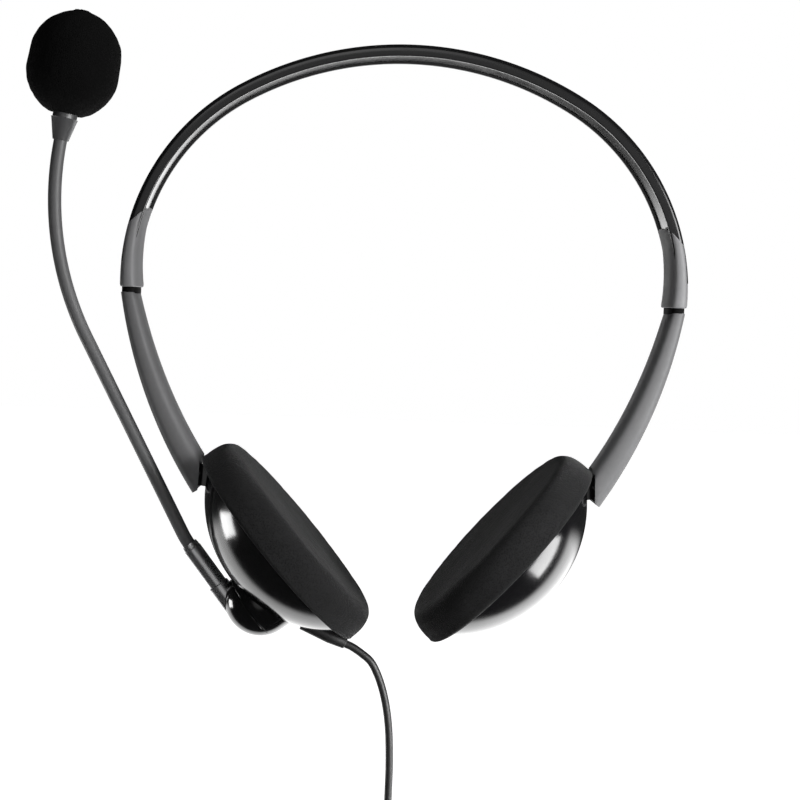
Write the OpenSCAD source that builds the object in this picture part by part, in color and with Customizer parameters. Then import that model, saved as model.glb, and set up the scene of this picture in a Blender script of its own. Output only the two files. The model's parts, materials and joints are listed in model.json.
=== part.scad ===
// Over-the-head stereo headset with a swinging boom microphone.
// Millimetres. +Z is up, the wearer faces -Y, and +X is the wearer's left.
// The origin lies midway between the two ear pads. The microphone side is -X.
// Every side piece is drawn on the -X side and mirrored for the +X side.

/* [Headband] */
// Outside radius of the crown arc
crown_r = 92.2; // [80:0.1:112]
// Half of the angle that the crown arc covers
crown_half_angle = 30; // [24:1:36]
// Outside radius of the two side arcs
side_r = 60.8; // [52:0.1:74]
// Width of the headband from front to back
band_w = 18; // [16:0.5:24]
// Overall thickness of the headband
band_t = 3.2; // [3:0.1:4.4]
// Wall of the outer channel
band_wall = 1; // [0.8:0.05:1.4]
// Width of each side flange of the outer channel
flange_w = 1.3; // [1:0.1:2]
// Thickness of the inner liner strip
liner_t = 1; // [0.8:0.05:1.3]
// Depth of the groove between flange edge and liner
liner_recess = 0.3; // [0.1:0.05:0.5]
// Diameter of the wire that joins the two ear cups
wire_d = 0.8; // [0.5:0.05:0.9]

/* [Sleeves and sliders] */
// Height of the sleeve on its outer side
sleeve_h = 17; // [14:0.5:24]
// Thickness of the sleeve at its lower end
sleeve_t = 5.6; // [5:0.1:8]
// How far the sleeve stands proud of the headband
sleeve_proud = 0.4; // [0.3:0.05:1]
// Width of the steel slider strip
strip_w = 10; // [7:0.5:11]
// Thickness of the steel slider strip
strip_t = 0.8; // [0.6:0.05:1]
// Length of strip held in the sleeve when the arm is pushed right in
strip_hold = 22; // [20:0.5:24]
// Lean of the slide away from vertical
slide_lean = 6.5; // [5:0.5:8]
// Height of the dark guide between sleeve and arm
guide_h = 1.3; // [0.8:0.1:2.5]

/* [Arms] */
// Outside radius of the arm's curve
arm_r = 135; // [120:1:160]
// Lean of the arm at its upper end
arm_lean = 8.9; // [7:0.1:12]
// Angle of curve between the arm's upper end and the cup hinge
arm_sweep = 23; // [19:0.1:26]
// Arm thickness at the upper end
arm_t_top = 3.8; // [3.4:0.1:5]
// Arm thickness at the cup hinge
arm_t_low = 6.8; // [6:0.1:8]
// Arm width from front to back
arm_w = 14; // [13:0.5:17]
// Diameter of the cup hinge pin
pin_d = 1.6; // [1.2:0.1:2]
// Depth of the hinge pin under the arm's outer face
pin_depth = 3.5; // [3.3:0.1:4]
// Width of the hinge eye on the cup
eye_w = 6; // [4:0.5:7]
// Outside diameter of the hinge eye on the cup
eye_d = 4.2; // [3.6:0.1:4.6]

/* [Ear cups] */
// Angle of the ear pad's face above level, as it looks up and inward
cup_tilt = 41.25; // [30:0.25:50]
// Outside radius of the domed shell
dome_r = 36; // [33:0.5:42]
// Radius of the shell's rim
rim_r = 29.6; // [27:0.1:31]
// Wall of the shell
shell_wall = 1.6; // [1.2:0.1:2.2]
// Radius of the foam ear pad
pad_r = 32.2; // [32:0.1:36]
// Thickness of the foam in front of the baffle
pad_front = 7.4; // [5:0.1:12]
// Thickness of the baffle plate
baffle_t = 1.6; // [1.2:0.1:2.4]
// Diameter of one sound hole
sound_hole_d = 1.8; // [1:0.1:2.2]
// Outside diameter of the loudspeaker
driver_d = 27; // [23:0.5:30]

/* [Boom] */
// Radius of the boom's domed hub
hub_r = 10; // [9:0.1:11]
// Diameter of the hub's stud
stud_d = 5.9; // [5:0.1:7]
// Diameter of the boom
boom_d = 3.6; // [3:0.1:4.5]
// Outside diameter of the boom's socket
socket_d = 5; // [4.6:0.1:6]
// Length of the socket outside the hub
socket_len = 14; // [8:0.5:20]
// Length of the boom's straight stretch
boom_straight = 59.4; // [40:0.1:90]
// Radius of the boom's curved stretch
boom_bend_r = 84; // [50:1:120]
// Angle of the boom's curved stretch
boom_bend = 36.7; // [20:0.1:60]
// Diameter of the foam windscreen
screen_d = 24.9; // [20:0.1:32]
// Height of the foam windscreen
screen_h = 29.6; // [26:0.1:38]
// Diameter of the microphone capsule
capsule_d = 6; // [4:0.1:6.6]

/* [Cord and plug] */
// Diameter of the cord
cord_d = 2.2; // [1.8:0.1:2.6]
// Mean radius of the coiled cord
coil_r = 13.2; // [12:0.1:16]
// Diameter of the plug's pin
plug_d = 3.5; // [2.5:0.5:3.5]
// Length of the plug's pin
plug_len = 14; // [12:0.5:16]
// Length of the plug's moulded handle
handle_len = 28; // [20:1:36]

/* [Hidden] */
$fn = 64;

// Clearances: a turning fit, a fixed fit, and the space round a soft piece
run_gap = 0.05;
fit_gap = 0.03;
soft_gap = 0.3;
sink = 0.01;
// A swept stretch that runs into the next one is this much slimmer, and this long inside it
weld = 0.02;
lap = 0.4;
lap_angle = 0.3;

// The cup's own frame: z is the pad's face normal and x runs down its face
cup_turn = 90 - cup_tilt;
rim_z = -4.8;
dome_z = rim_z + sqrt(dome_r * dome_r - rim_r * rim_r);
cavity_r = dome_r - shell_wall;
pivot_in_cup_x = -29.84;
pivot_stand_off = 2.96;
pivot_in_cup_z = dome_z - sqrt(pow(dome_r + pivot_stand_off, 2) - pow(pivot_in_cup_x, 2));

// The chain from the ear pads up to the crown
pivot_z = -pivot_in_cup_x * sin(cup_turn) + pivot_in_cup_z * cos(cup_turn);
arm_pin_angle = arm_lean + arm_sweep;
arm_centre_z = pivot_z + (arm_r - pin_depth) * sin(arm_pin_angle);
arm_top_z = arm_centre_z - arm_r * sin(arm_lean);
sleeve_low_z = arm_top_z + guide_h + 0.2;
side_z = sleeve_low_z + 2.5;
crown_z = side_z - (crown_r - side_r) * cos(crown_half_angle);

// The chain from the headband's widest point in to the ear pads
side_x = (crown_r - side_r) * sin(crown_half_angle);
widest_x = side_x + side_r;
arm_top_x = widest_x + 0.2;
arm_centre_x = arm_r * cos(arm_lean) - arm_top_x;
pivot_x = arm_centre_x - (arm_r - pin_depth) * cos(arm_pin_angle);
cup_x = pivot_x - pivot_in_cup_x * cos(cup_turn) - pivot_in_cup_z * sin(cup_turn);

// Headband angles, counted from the top of each side arc's circle
channel_end = 86;
liner_end = 76.5;
corner_r = 1.2;

// Slide line: it passes through the middle of the guide
slide_x = -(widest_x - 2.4);
slide_z = sleeve_low_z;
strip_tail = 8;

// Arm end, past the pin
arm_tip_angle = arm_pin_angle + 1.7;
hinge_swing = [-3, 12];

// Hub place in the cup's frame
hub_x = 7.94;
hub_z = -24.77;
hub_turn = 3.45;
hub_top_z = -3;
hub_face = 3.5;
pedestal_gap = 0.1;
stud_len = 8;

// Boom path beyond the hub, and the windscreen on its end
socket_start = 9;
boom_start = 10;
boom_kick_r = 20;
boom_kick = 9.9;
boom_tip = 2;
collar_h = 5;
holder_h = 12;
screen_start = 5.2;

// Screws that hold the baffle
screw_ring_r = 24;
screw_r = 1;
screw_head_r = 2;
screw_head_h = 1.1;

// The cord's route in X and Z, from the strain relief down to the coil
cord_route = [
    [-12.4, -29.6], [-10.4, -30.5], [-7.8, -32.2], [-5.2, -34.4], [-3.2, -38],
    [-1.6, -42.4], [-0.4, -47.4], [0.4, -52.8], [0.8, -58.4], [1, -64], [1, -69], [1, -73.5], [1, -78.99]
];
relief_root = [-24.4, -24.1];
relief_taper = 4.5;
coil_x = 1;
coil_z = -97.7;
coil_deep = 11;
coil_wide = 9;
coil_corner = 3;
tie_wall = 0.9;
tie_len = 5;
tail_end_z = -124;

function sgn_pow(v, p) = sign(v) * pow(abs(v), p);

// A soft-cornered section, as pairs from -1 to 1
section_points = 24;
section_power = 2 / 3.4;
unit_section = [
    for (i = [0 : section_points - 1])
        let (a = 360 * i / section_points)
            [sgn_pow(cos(a), section_power), sgn_pow(sin(a), section_power)]
];

function mix(a, b, f) = a + (b - a) * f;

// A closed skin over rings that hold the same number of points
module skin(rings) {
    n = len(rings[0]);
    m = len(rings);
    polyhedron(
        points = [for (ring = rings) each ring],
        faces = [
            [for (i = [0 : n - 1]) i],
            [for (i = [n - 1 : -1 : 0]) (m - 1) * n + i],
            for (j = [0 : m - 2], i = [0 : n - 1])
                let (k = (i + 1) % n)
                    each [
                        [j * n + i, (j + 1) * n + i, j * n + k],
                        [j * n + k, (j + 1) * n + i, (j + 1) * n + k]
                    ]
        ]
    );
}

module left() {
    mirror([1, 0, 0]) children();
}

module in_cup() {
    translate([cup_x, 0, 0]) rotate([0, cup_turn, 0]) children();
}

module in_hub() {
    in_cup() translate([hub_x, 0, hub_z]) rotate([0, hub_turn, 0]) children();
}

// The boom's frame: x runs out along the boom, z points to the head
module on_boom() {
    in_hub() rotate([0, 0, 180]) children();
}

// Turns children about the cup hinge
module swing(angle) {
    translate([pivot_x, 0, pivot_z]) rotate([0, angle, 0]) translate([-pivot_x, 0, -pivot_z]) children();
}

// Sweeps the first child along the crown and the second down both sides to an end angle
module band_sweep(end_angle) {
    translate([0, 0, crown_z]) rotate([90, 0, 0]) rotate([0, 0, 90 - crown_half_angle - lap_angle])
        rotate_extrude(angle = 2 * (crown_half_angle + lap_angle), $fn = 180)
            translate([crown_r, 0]) children(0);
    for (s = [0, 1]) mirror([s, 0, 0]) side_sweep(crown_half_angle, end_angle) children(1);
}

// Sweeps a profile along one side arc, between two angles from the vertical
module side_sweep(from_angle, end_angle) {
    translate([-side_x, 0, side_z]) rotate([90, 0, 0]) rotate([0, 0, 90 + from_angle])
        rotate_extrude(angle = end_angle - from_angle, $fn = 180) translate([side_r, 0]) children();
}

// Outline of the whole band section: x is the radial way, with 0 at the outer face
module band_section(grow) {
    half = band_w / 2 + grow;
    r = corner_r + grow;
    translate([-band_t - grow, -half]) square([band_t + 2 * grow - r, 2 * half]);
    translate([grow - r - sink, r - half]) square([r + sink, 2 * (half - r)]);
    for (s = [-1, 1]) translate([grow - r, s * (half - r)]) circle(r);
}

module channel_section(grow) {
    difference() {
        band_section(grow);
        translate([-band_t - 1, grow + flange_w - band_w / 2])
            square([band_t + 1 - band_wall - grow, band_w - 2 * (flange_w + grow)]);
    }
}

module liner_section(grow) {
    half = band_w / 2 - flange_w - run_gap + grow;
    translate([liner_recess - band_t - grow, -half]) square([liner_t + 2 * grow, 2 * half]);
}

// The slide's own frame: z runs up along the strip, from the guide
module on_slide() {
    translate([slide_x, 0, slide_z]) rotate([0, slide_lean, 0]) children();
}

module strip_pocket() {
    on_slide() translate([-strip_t / 2 - run_gap, -strip_w / 2 - run_gap, -4])
        cube([strip_t + 2 * run_gap, strip_w + 2 * run_gap, strip_hold + 4.8]);
}

module headband() {
    color([0.03, 0.03, 0.035]) difference() {
        band_sweep(channel_end) {
            channel_section(-weld);
            channel_section(0);
        }
        strip_pocket();
        left() strip_pocket();
    }
}

module headband_liner() {
    color([0.16, 0.16, 0.17]) difference() {
        band_sweep(liner_end) {
            liner_section(-weld);
            liner_section(0);
        }
        strip_pocket();
        left() strip_pocket();
    }
}

module wire_section(grow) {
    gap_mid = (band_wall + band_t - liner_recess - liner_t) / 2;
    wire_y = band_w / 2 - flange_w - wire_d / 2 - 0.6;
    translate([-gap_mid, wire_y]) circle(d = wire_d + 2 * grow, $fn = 24);
}

module crossover_wire() {
    color([0.25, 0.25, 0.26]) band_sweep(liner_end - 1) {
        wire_section(-weld);
        wire_section(0);
    }
}

function sleeve_out_x(z) =
    z > side_z
        ? -side_x - sqrt(pow(side_r + sleeve_proud, 2) - pow(z - side_z, 2))
        : -side_x - side_r - sleeve_proud;

module sleeve() {
    tall = sleeve_h + 4.6;
    thin = band_t + 2.5 * sleeve_proud;
    rings = [
        for (f = [0, 0.04, 0.12, 0.26, 0.42, 0.58, 0.74, 0.88, 1])
            let (
                z = sleeve_low_z + tall * f,
                t = mix(sleeve_t, thin, pow(min(1, f / 0.75), 0.8)) - (f == 0 ? 0.5 : 0),
                out_x = sleeve_out_x(z) + (f == 0 ? 0.25 : 0),
                w = band_w / 2 + 0.5 - (f == 0 ? 0.25 : 0)
            )
            [for (p = unit_section) [out_x + t / 2 - p[0] * t / 2, p[1] * w, z]]
    ];
    color([0.2, 0.2, 0.21]) difference() {
        skin(rings);
        // the junction with the band runs down and outwards
        translate([-widest_x + 1.2, 0, sleeve_low_z + sleeve_h - 0.6]) rotate([0, -42, 0])
            translate([-20, -20, 0]) cube([40, 40, 20]);
        side_sweep(60, channel_end + lap_angle / 5) channel_section(fit_gap);
        side_sweep(60, liner_end) band_section(fit_gap);
        strip_pocket();
        on_slide() guide_plug(fit_gap);
    }
}

// The guide's spigot inside the sleeve
module guide_plug(grow) {
    translate([-1.5 - grow, -strip_w / 2 - 1.2 - grow, -sink])
        cube([3 + 2 * grow, strip_w + 2.4 + 2 * grow, 3 + grow]);
}

module slide_guide() {
    color([0.02, 0.02, 0.02]) difference() {
        union() {
            on_slide() guide_plug(0);
            translate([slide_x, 0, sleeve_low_z - guide_h])
                linear_extrude(guide_h - 0.02) round_bar(3.4, strip_w + 3.4, 1.2);
        }
        strip_pocket();
    }
}

// A bar outline with round corners, centred
module round_bar(x, y, r) {
    square([x - 2 * r, y], center = true);
    square([x, y - 2 * r], center = true);
    for (i = [-1, 1], j = [-1, 1]) translate([i * (x / 2 - r), j * (y / 2 - r)]) circle(r, $fn = 32);
}

module slider() {
    notch_pitch = 4;
    color([0.62, 0.63, 0.64]) difference() {
        bent_strip(0);
        // click notches in both edges
        for (i = [1 : 4], s = [-1, 1])
            on_slide() translate([0, s * strip_w / 2, strip_hold - 2 - i * notch_pitch])
                rotate([0, 90, 0]) cylinder(d = 1.4, h = 4, center = true, $fn = 24);
    }
}

// The strip's side outline, straight in the sleeve and bent to follow the arm below it
function strip_outline(grow) =
    let (
        half = strip_t / 2 + grow,
        top = [slide_x, slide_z] + strip_hold * [sin(slide_lean), cos(slide_lean)],
        knee = [slide_x, slide_z] - (guide_h + 0.2) * [sin(slide_lean), cos(slide_lean)],
        foot = knee + (strip_tail + grow) * [sin(arm_lean), -cos(arm_lean)],
        across_top = half * [cos(slide_lean), -sin(slide_lean)],
        across_foot = half * [cos(arm_lean), sin(arm_lean)],
        across_knee = (across_top + across_foot) / (1 + cos(slide_lean + arm_lean))
    )
        [
            top + across_top, knee + across_knee, foot + across_foot,
            foot - across_foot, knee - across_knee, top - across_top
        ];

module bent_strip(grow) {
    rotate([90, 0, 0]) linear_extrude(strip_w + 2 * grow, center = true) polygon(strip_outline(grow));
}

function arm_ring(angle, t, w) = [
    for (p = unit_section)
        let (r = arm_r - t / 2 + p[0] * t / 2)
            [arm_centre_x - r * cos(angle), p[1] * w / 2, arm_centre_z - r * sin(angle)]
];

module arm() {
    steps = 14;
    end_angle = arm_tip_angle;
    rings = [
        arm_ring(arm_lean, arm_t_top - 0.6, arm_w - 0.6),
        for (i = [0 : steps])
            let (f = i / steps)
                arm_ring(mix(arm_lean + 0.15, end_angle, f), mix(arm_t_top, arm_t_low, pow(f, 0.8)), arm_w)
    ];
    color([0.34, 0.34, 0.35]) difference() {
        skin(rings);
        bent_strip(fit_gap);
        translate([slide_x - 10, -10, sleeve_low_z - guide_h - 0.1]) cube([20, 20, 5]);
        // room for the dome and the eye over the whole swing
        hull() for (a = hinge_swing) swing(a) in_cup() translate([0, 0, dome_z]) sphere(dome_r + 0.5, $fn = 72);
        hull() for (a = hinge_swing) swing(a) in_cup() eye_room();
        translate([pivot_x, 0, pivot_z]) rotate([90, 0, 0]) {
            cylinder(d = eye_d + 0.4, h = eye_w + 0.4, center = true);
            translate([0, 0, -arm_w / 2 - 1]) cylinder(d = pin_d + 2 * sink, h = arm_w - 0.2, $fn = 32);
        }
    }
}

// Runs from the hinge line to the dome's centre
module to_dome() {
    translate([pivot_in_cup_x, 0, pivot_in_cup_z])
        rotate([0, atan2(-pivot_in_cup_x, dome_z - pivot_in_cup_z), 0]) children();
}

module eye_room() {
    to_dome() translate([-eye_d / 2 - 0.3, -eye_w / 2 - 0.2, 0])
        cube([eye_d + 0.6, eye_w + 0.4, 12]);
}

module hinge_pin() {
    color([0.6, 0.6, 0.6]) translate([pivot_x, 0, pivot_z]) rotate([90, 0, 0])
        translate([0, 0, 0.4 - arm_w / 2]) cylinder(d = pin_d, h = arm_w - 1.8, $fn = 32);
}

module dome_skin(with_hub) {
    intersection() {
        translate([0, 0, dome_z]) sphere(dome_r, $fn = 128);
        translate([0, 0, rim_z - 40]) cylinder(r = rim_r + 5, h = 40);
    }
    if (with_hub)
        translate([hub_x, 0, hub_z]) rotate([0, hub_turn, 0])
            translate([0, 0, hub_top_z + hub_r]) difference() {
                union() {
                    cylinder(r = hub_r, h = 6);
                    sphere(hub_r);
                }
                translate([0, 0, hub_face + pedestal_gap - hub_top_z - 2 * hub_r]) cylinder(r = hub_r + 1, h = hub_r);
                translate([0, 0, 6]) cylinder(r = hub_r + 1, h = hub_r);
            }
}

module shell(with_hub) {
    color([0.02, 0.02, 0.025]) difference() {
        union() {
            difference() {
                union() {
                    dome_skin(with_hub);
                    eye_body();
                }
                translate([0, 0, dome_z]) sphere(cavity_r, $fn = 128);
            }
            // screw bosses, a driver ring and, on one side, the hub's boss
            intersection() {
                translate([0, 0, dome_z]) sphere(cavity_r + sink, $fn = 128);
                union() {
                    screw_places() translate([0, 0, rim_z - 12]) cylinder(r = 2.4, h = 12);
                    if (with_hub)
                        translate([hub_x, 0, hub_z]) rotate([0, hub_turn, 0])
                            cylinder(r = stud_d / 2 + 1.8, h = hub_face + stud_len - 0.4);
                }
            }
        }
        screw_places() translate([0, 0, rim_z - 4]) cylinder(r = screw_r + fit_gap, h = 5, $fn = 24);
        to_dome() rotate([90, 0, 0]) cylinder(d = pin_d + 2 * run_gap, h = 20, center = true, $fn = 32);
        if (with_hub) {
            translate([hub_x, 0, hub_z]) rotate([0, hub_turn, 0])
                cylinder(d = stud_d + 2 * run_gap, h = 30);
        }
    }
}

module eye_body() {
    to_dome() intersection() {
        union() {
            rotate([90, 0, 0]) cylinder(d = eye_d, h = eye_w, center = true);
            translate([-eye_d / 2, -eye_w / 2, 0]) cube([eye_d, eye_w, pivot_stand_off + 1.2]);
        }
        rotate([90, 0, 0]) cylinder(r = 12, h = eye_w, center = true);
    }
}

module screw_places() {
    for (a = [60, 180, 300]) rotate([0, 0, a]) translate([screw_ring_r, 0, 0]) children();
}

module right_shell() {
    difference() {
        in_cup() shell(true);
        relief_axis() translate([0, 0, -sink]) cylinder(r = relief_r + fit_gap, h = 16, $fn = 32);
        relief_axis() translate([0, 0, -6]) cylinder(d = cord_d + 2 * fit_gap, h = 8, $fn = 32);
    }
}

module left_shell() {
    left() in_cup() shell(false);
}

module baffle() {
    flange_r = rim_r + 1.2;
    spigot_h = 1;
    spigot_r = sqrt(pow(cavity_r, 2) - pow(dome_z - rim_z + spigot_h, 2)) - 0.1;
    hole_rings = [[0, 1], [3.6, 6], [7.2, 12]];
    color([0.05, 0.05, 0.05]) in_cup() difference() {
        union() {
            translate([0, 0, rim_z]) cylinder(r = flange_r, h = baffle_t);
            translate([0, 0, rim_z - spigot_h]) difference() {
                cylinder(r = spigot_r, h = spigot_h + sink);
                translate([0, 0, -1]) cylinder(r = spigot_r - 1.2, h = 1 + spigot_h);
                screw_places() translate([0, 0, -1]) cylinder(r = 2.4 + 0.15, h = 3);
            }
        }
        for (ring = hole_rings, i = [0 : ring[1] - 1])
            rotate([0, 0, 360 * i / ring[1]]) translate([ring[0], 0, rim_z - 1])
                cylinder(d = sound_hole_d, h = baffle_t + 2, $fn = 20);
        screw_places() {
            translate([0, 0, rim_z - 2]) cylinder(r = screw_r + 0.15, h = 5, $fn = 24);
            translate([0, 0, rim_z + baffle_t - screw_head_h]) cylinder(r = screw_head_r + 0.15, h = 3, $fn = 32);
        }
    }
}

module driver_frame() {
    r = driver_d / 2;
    color([0.1, 0.1, 0.1]) in_cup() translate([0, 0, rim_z]) rotate([180, 0, 0]) rotate_extrude()
        polygon([
            [r - 2, 0.01], [r, 0.01], [r, 1.4], [r - 1, 2.6], [8.6, 4], [8.6, 5.2],
            [7.1, 5.2], [7.1, 3.4], [r - 2, 2]
        ]);
}

module driver_magnet() {
    color([0.55, 0.55, 0.56]) in_cup() translate([0, 0, rim_z - 7]) cylinder(r = 7.1 - fit_gap, h = 3.4);
}

module diaphragm() {
    r = driver_d / 2 - 2.05;
    color([0.75, 0.73, 0.65]) in_cup() translate([0, 0, rim_z - 1.9]) rotate_extrude()
        polygon([
            [0, 1.2], [3, 1], [5.5, 0.2], [6, 0.5], [9, 0.9], [r, 0.2], [r, 0.1],
            [9, 0.75], [6, 0.35], [5.5, 0], [3, 0.85], [0, 1.05]
        ]);
}

module screws() {
    color([0.35, 0.35, 0.36]) in_cup() screw_places() {
        translate([0, 0, rim_z - 3.6]) cylinder(r = screw_r, h = 3.7 + baffle_t - screw_head_h, $fn = 24);
        translate([0, 0, rim_z + baffle_t - screw_head_h]) difference() {
            cylinder(r = screw_head_r, h = screw_head_h - 0.05, $fn = 32);
            for (a = [0, 90]) rotate([0, 0, a]) translate([-1.2, -0.25, 0.5]) cube([2.4, 0.5, 2]);
        }
    }
}

module pad() {
    front_z = rim_z + baffle_t + pad_front;
    back_z = rim_z - 1;
    round_r = 3.6;
    flange_r = rim_r + 1.2;
    color([0.07, 0.07, 0.075]) in_cup() difference() {
        rotate_extrude($fn = 96) {
            translate([0, back_z]) square([pad_r - 1.2, front_z - back_z - round_r]);
            translate([0, back_z + 1.2]) square([pad_r, front_z - back_z - round_r - 1.2]);
            translate([pad_r - 1.2, back_z + 1.2]) circle(1.2, $fn = 32);
            translate([0, front_z - round_r - sink]) square([pad_r - round_r, round_r + sink]);
            translate([pad_r - round_r, front_z - round_r]) circle(round_r);
        }
        // the pocket that the baffle's flange sits in, and the lip behind it
        translate([0, 0, rim_z - 0.15]) cylinder(r = flange_r + 0.15, h = baffle_t + 0.15 + soft_gap);
        translate([0, 0, back_z - 1]) cylinder(r = rim_r + 0.25, h = 3);
    }
}

module boom_hub() {
    color([0.02, 0.02, 0.025]) in_hub() difference() {
        union() {
            difference() {
                union() {
                    translate([0, 0, hub_top_z + hub_r]) sphere(hub_r, $fn = 128);
                    rotate([0, -90, 0]) cylinder(r = socket_d / 2 + 0.4, h = hub_r + 0.4, $fn = 48);
                }
                translate([0, 0, hub_face]) cylinder(r = 2 * hub_r, h = 2 * hub_r);
            }
            cylinder(d = stud_d, h = hub_face + stud_len, $fn = 48);
        }
        rotate([0, -90, 0]) translate([0, 0, socket_start]) cylinder(d = socket_d + 2 * sink, h = 10, $fn = 48);
        rotate([0, -90, 0]) translate([0, 0, 5]) cylinder(d = boom_d, h = 10, $fn = 32);
        translate([0, 0, hub_face + 1]) cylinder(r = 1.2 + fit_gap, h = stud_len, $fn = 24);
    }
}

module boom_washer() {
    color([0.6, 0.6, 0.6]) in_hub() translate([0, 0, hub_face + stud_len - 0.35]) difference() {
        cylinder(r = 4.6, h = 0.4, $fn = 48);
        translate([0, 0, -1]) cylinder(d = stud_d + 0.1, h = 3, $fn = 48);
    }
}

module boom_screw() {
    color([0.5, 0.5, 0.5]) in_hub() translate([0, 0, hub_face + stud_len]) {
        translate([0, 0, 0.06]) difference() {
            cylinder(r = 4, h = 1.2, $fn = 48);
            for (a = [0, 90]) rotate([0, 0, a]) translate([-1.4, -0.3, 0.5]) cube([2.8, 0.6, 2]);
        }
        translate([0, 0, -5.6]) cylinder(r = 1.2, h = 5.7, $fn = 24);
    }
}

module boom_socket() {
    color([0.12, 0.12, 0.12]) on_boom() rotate([0, 90, 0]) translate([0, 0, socket_start]) difference() {
        union() {
            cylinder(d = socket_d, h = socket_len, $fn = 48);
            translate([0, 0, socket_len - sink]) cylinder(d1 = socket_d, d2 = socket_d - 0.6, h = 1, $fn = 48);
        }
        translate([0, 0, -1]) cylinder(d = boom_d + 2 * sink, h = socket_len + 4, $fn = 48);
    }
}

// A bend toward +z of a rod that runs along +x; the next stretch goes on its end
module bend(radius, angle) {
    translate([0, 0, radius]) rotate([90, 0, 0]) rotate([0, 0, -90])
        rotate_extrude(angle = angle, $fn = 180) translate([radius, 0]) circle(d = boom_d, $fn = 32);
    after_bend(radius, angle) children();
}

module after_bend(radius, angle) {
    translate([0, 0, radius]) rotate([0, -angle, 0]) translate([0, 0, -radius]) children();
}

module rod(length) {
    translate([-lap, 0, 0]) rotate([0, 90, 0]) cylinder(d = boom_d - 2 * weld, h = length + 2 * lap, $fn = 32);
    translate([length, 0, 0]) children();
}

first_rod = socket_start + socket_len + 1 - boom_start;

module boom_tube() {
    color([0.1, 0.1, 0.105]) on_boom() translate([boom_start, 0, 0])
        rod(first_rod) bend(boom_kick_r, boom_kick) rod(boom_straight) bend(boom_bend_r, boom_bend) rod(boom_tip);
}

// The frame at the boom's end: z runs out of the boom
module on_boom_end() {
    on_boom() translate([boom_start + first_rod, 0, 0]) after_bend(boom_kick_r, boom_kick)
        translate([boom_straight, 0, 0]) after_bend(boom_bend_r, boom_bend)
            translate([boom_tip, 0, 0]) rotate([0, 90, 0]) children();
}

holder_r = capsule_d / 2 + 0.6;

module capsule_holder() {
    color([0.14, 0.14, 0.145]) on_boom_end() difference() {
        union() {
            translate([0, 0, -1]) cylinder(r1 = boom_d / 2 + 0.35, r2 = holder_r + 0.1, h = collar_h + 1, $fn = 48);
            translate([0, 0, collar_h - sink]) cylinder(r = holder_r - 0.3, h = holder_h, $fn = 48);
        }
        translate([0, 0, collar_h + holder_h - 5]) cylinder(r = capsule_d / 2 - 0.2, h = 6, $fn = 48);
        translate([0, 0, collar_h + holder_h - 3]) cylinder(d = capsule_d + 2 * sink, h = 4, $fn = 48);
        translate([0, 0, -2]) cylinder(d = boom_d + 2 * sink, h = 2 + lap + sink, $fn = 32);
        translate([0, 0, -1]) cylinder(r = 0.8, h = collar_h + holder_h, $fn = 24);
    }
}

module mic_capsule() {
    color([0.6, 0.58, 0.5]) on_boom_end() translate([0, 0, collar_h + holder_h - 3]) difference() {
        cylinder(d = capsule_d, h = 2.7, $fn = 48);
        for (a = [0 : 60 : 300]) rotate([0, 0, a]) translate([1.4, 0, 2]) cylinder(d = 0.7, h = 1, $fn = 16);
        translate([0, 0, 2]) cylinder(d = 0.9, h = 1, $fn = 16);
    }
}

module windscreen() {
    r = screen_d / 2;
    half = (screen_h - screen_d) / 2;
    color([0.015, 0.015, 0.015]) on_boom_end() translate([0, 0, screen_start + screen_h / 2]) difference() {
        rotate_extrude($fn = 96) intersection() {
            union() {
                translate([0, half]) circle(r);
                translate([0, -half]) circle(r);
                square([2 * r, 2 * half], center = true);
            }
            translate([0, -40]) square([40, 80]);
        }
        translate([0, 0, -screen_h / 2 - 1]) cylinder(r = holder_r - 0.3 + soft_gap, h = holder_h + 1.6, $fn = 48);
    }
}

// The strain relief's frame: z runs out of the cup along the cord
module relief_axis() {
    dx = cord_route[0][0] - relief_root[0];
    dz = cord_route[0][1] - relief_root[1];
    translate([relief_root[0], 0, relief_root[1]]) rotate([0, atan2(dx, dz), 0]) children();
}

relief_r = 2;

module strain_relief() {
    length = norm(cord_route[0] - relief_root);
    color([0.03, 0.03, 0.03]) relief_axis() difference() {
        union() {
            cylinder(r = relief_r, h = length - relief_taper + sink, $fn = 32);
            translate([0, 0, length - relief_taper]) cylinder(r1 = relief_r, r2 = 1.5, h = relief_taper, $fn = 32);
        }
        translate([0, 0, -1]) cylinder(d = cord_d, h = length, $fn = 24);
    }
}

// A round cord swept through points in the X-Z plane
module cord_tube(route) {
    sides = 8;
    last = len(route) - 1;
    rings = [
        for (i = [0 : last])
            let (
                d = route[min(i + 1, last)] - route[max(i - 1, 0)],
                u = d / norm(d)
            )
            [
                for (k = [0 : sides - 1])
                    let (a = 360 * k / sides, c = cord_d / 2 * cos(a), s = cord_d / 2 * sin(a))
                        [route[i][0] - u[1] * c, s, route[i][1] + u[0] * c]
            ]
    ];
    color([0.04, 0.04, 0.04]) skin(rings);
}

module cord_lead() {
    cord_tube(cord_route);
}

module cord_tail() {
    color([0.04, 0.04, 0.04]) translate([coil_x, 0, tail_end_z])
        cylinder(d = cord_d, h = coil_z - coil_r - coil_deep / 2 - tail_end_z - 0.02, $fn = 16);
}

module cord_coil() {
    color([0.04, 0.04, 0.04]) translate([coil_x, 0, coil_z]) rotate([90, 0, 0])
        rotate_extrude($fn = 96) translate([coil_r, 0]) round_bar(coil_deep, coil_wide, coil_corner);
}

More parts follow.
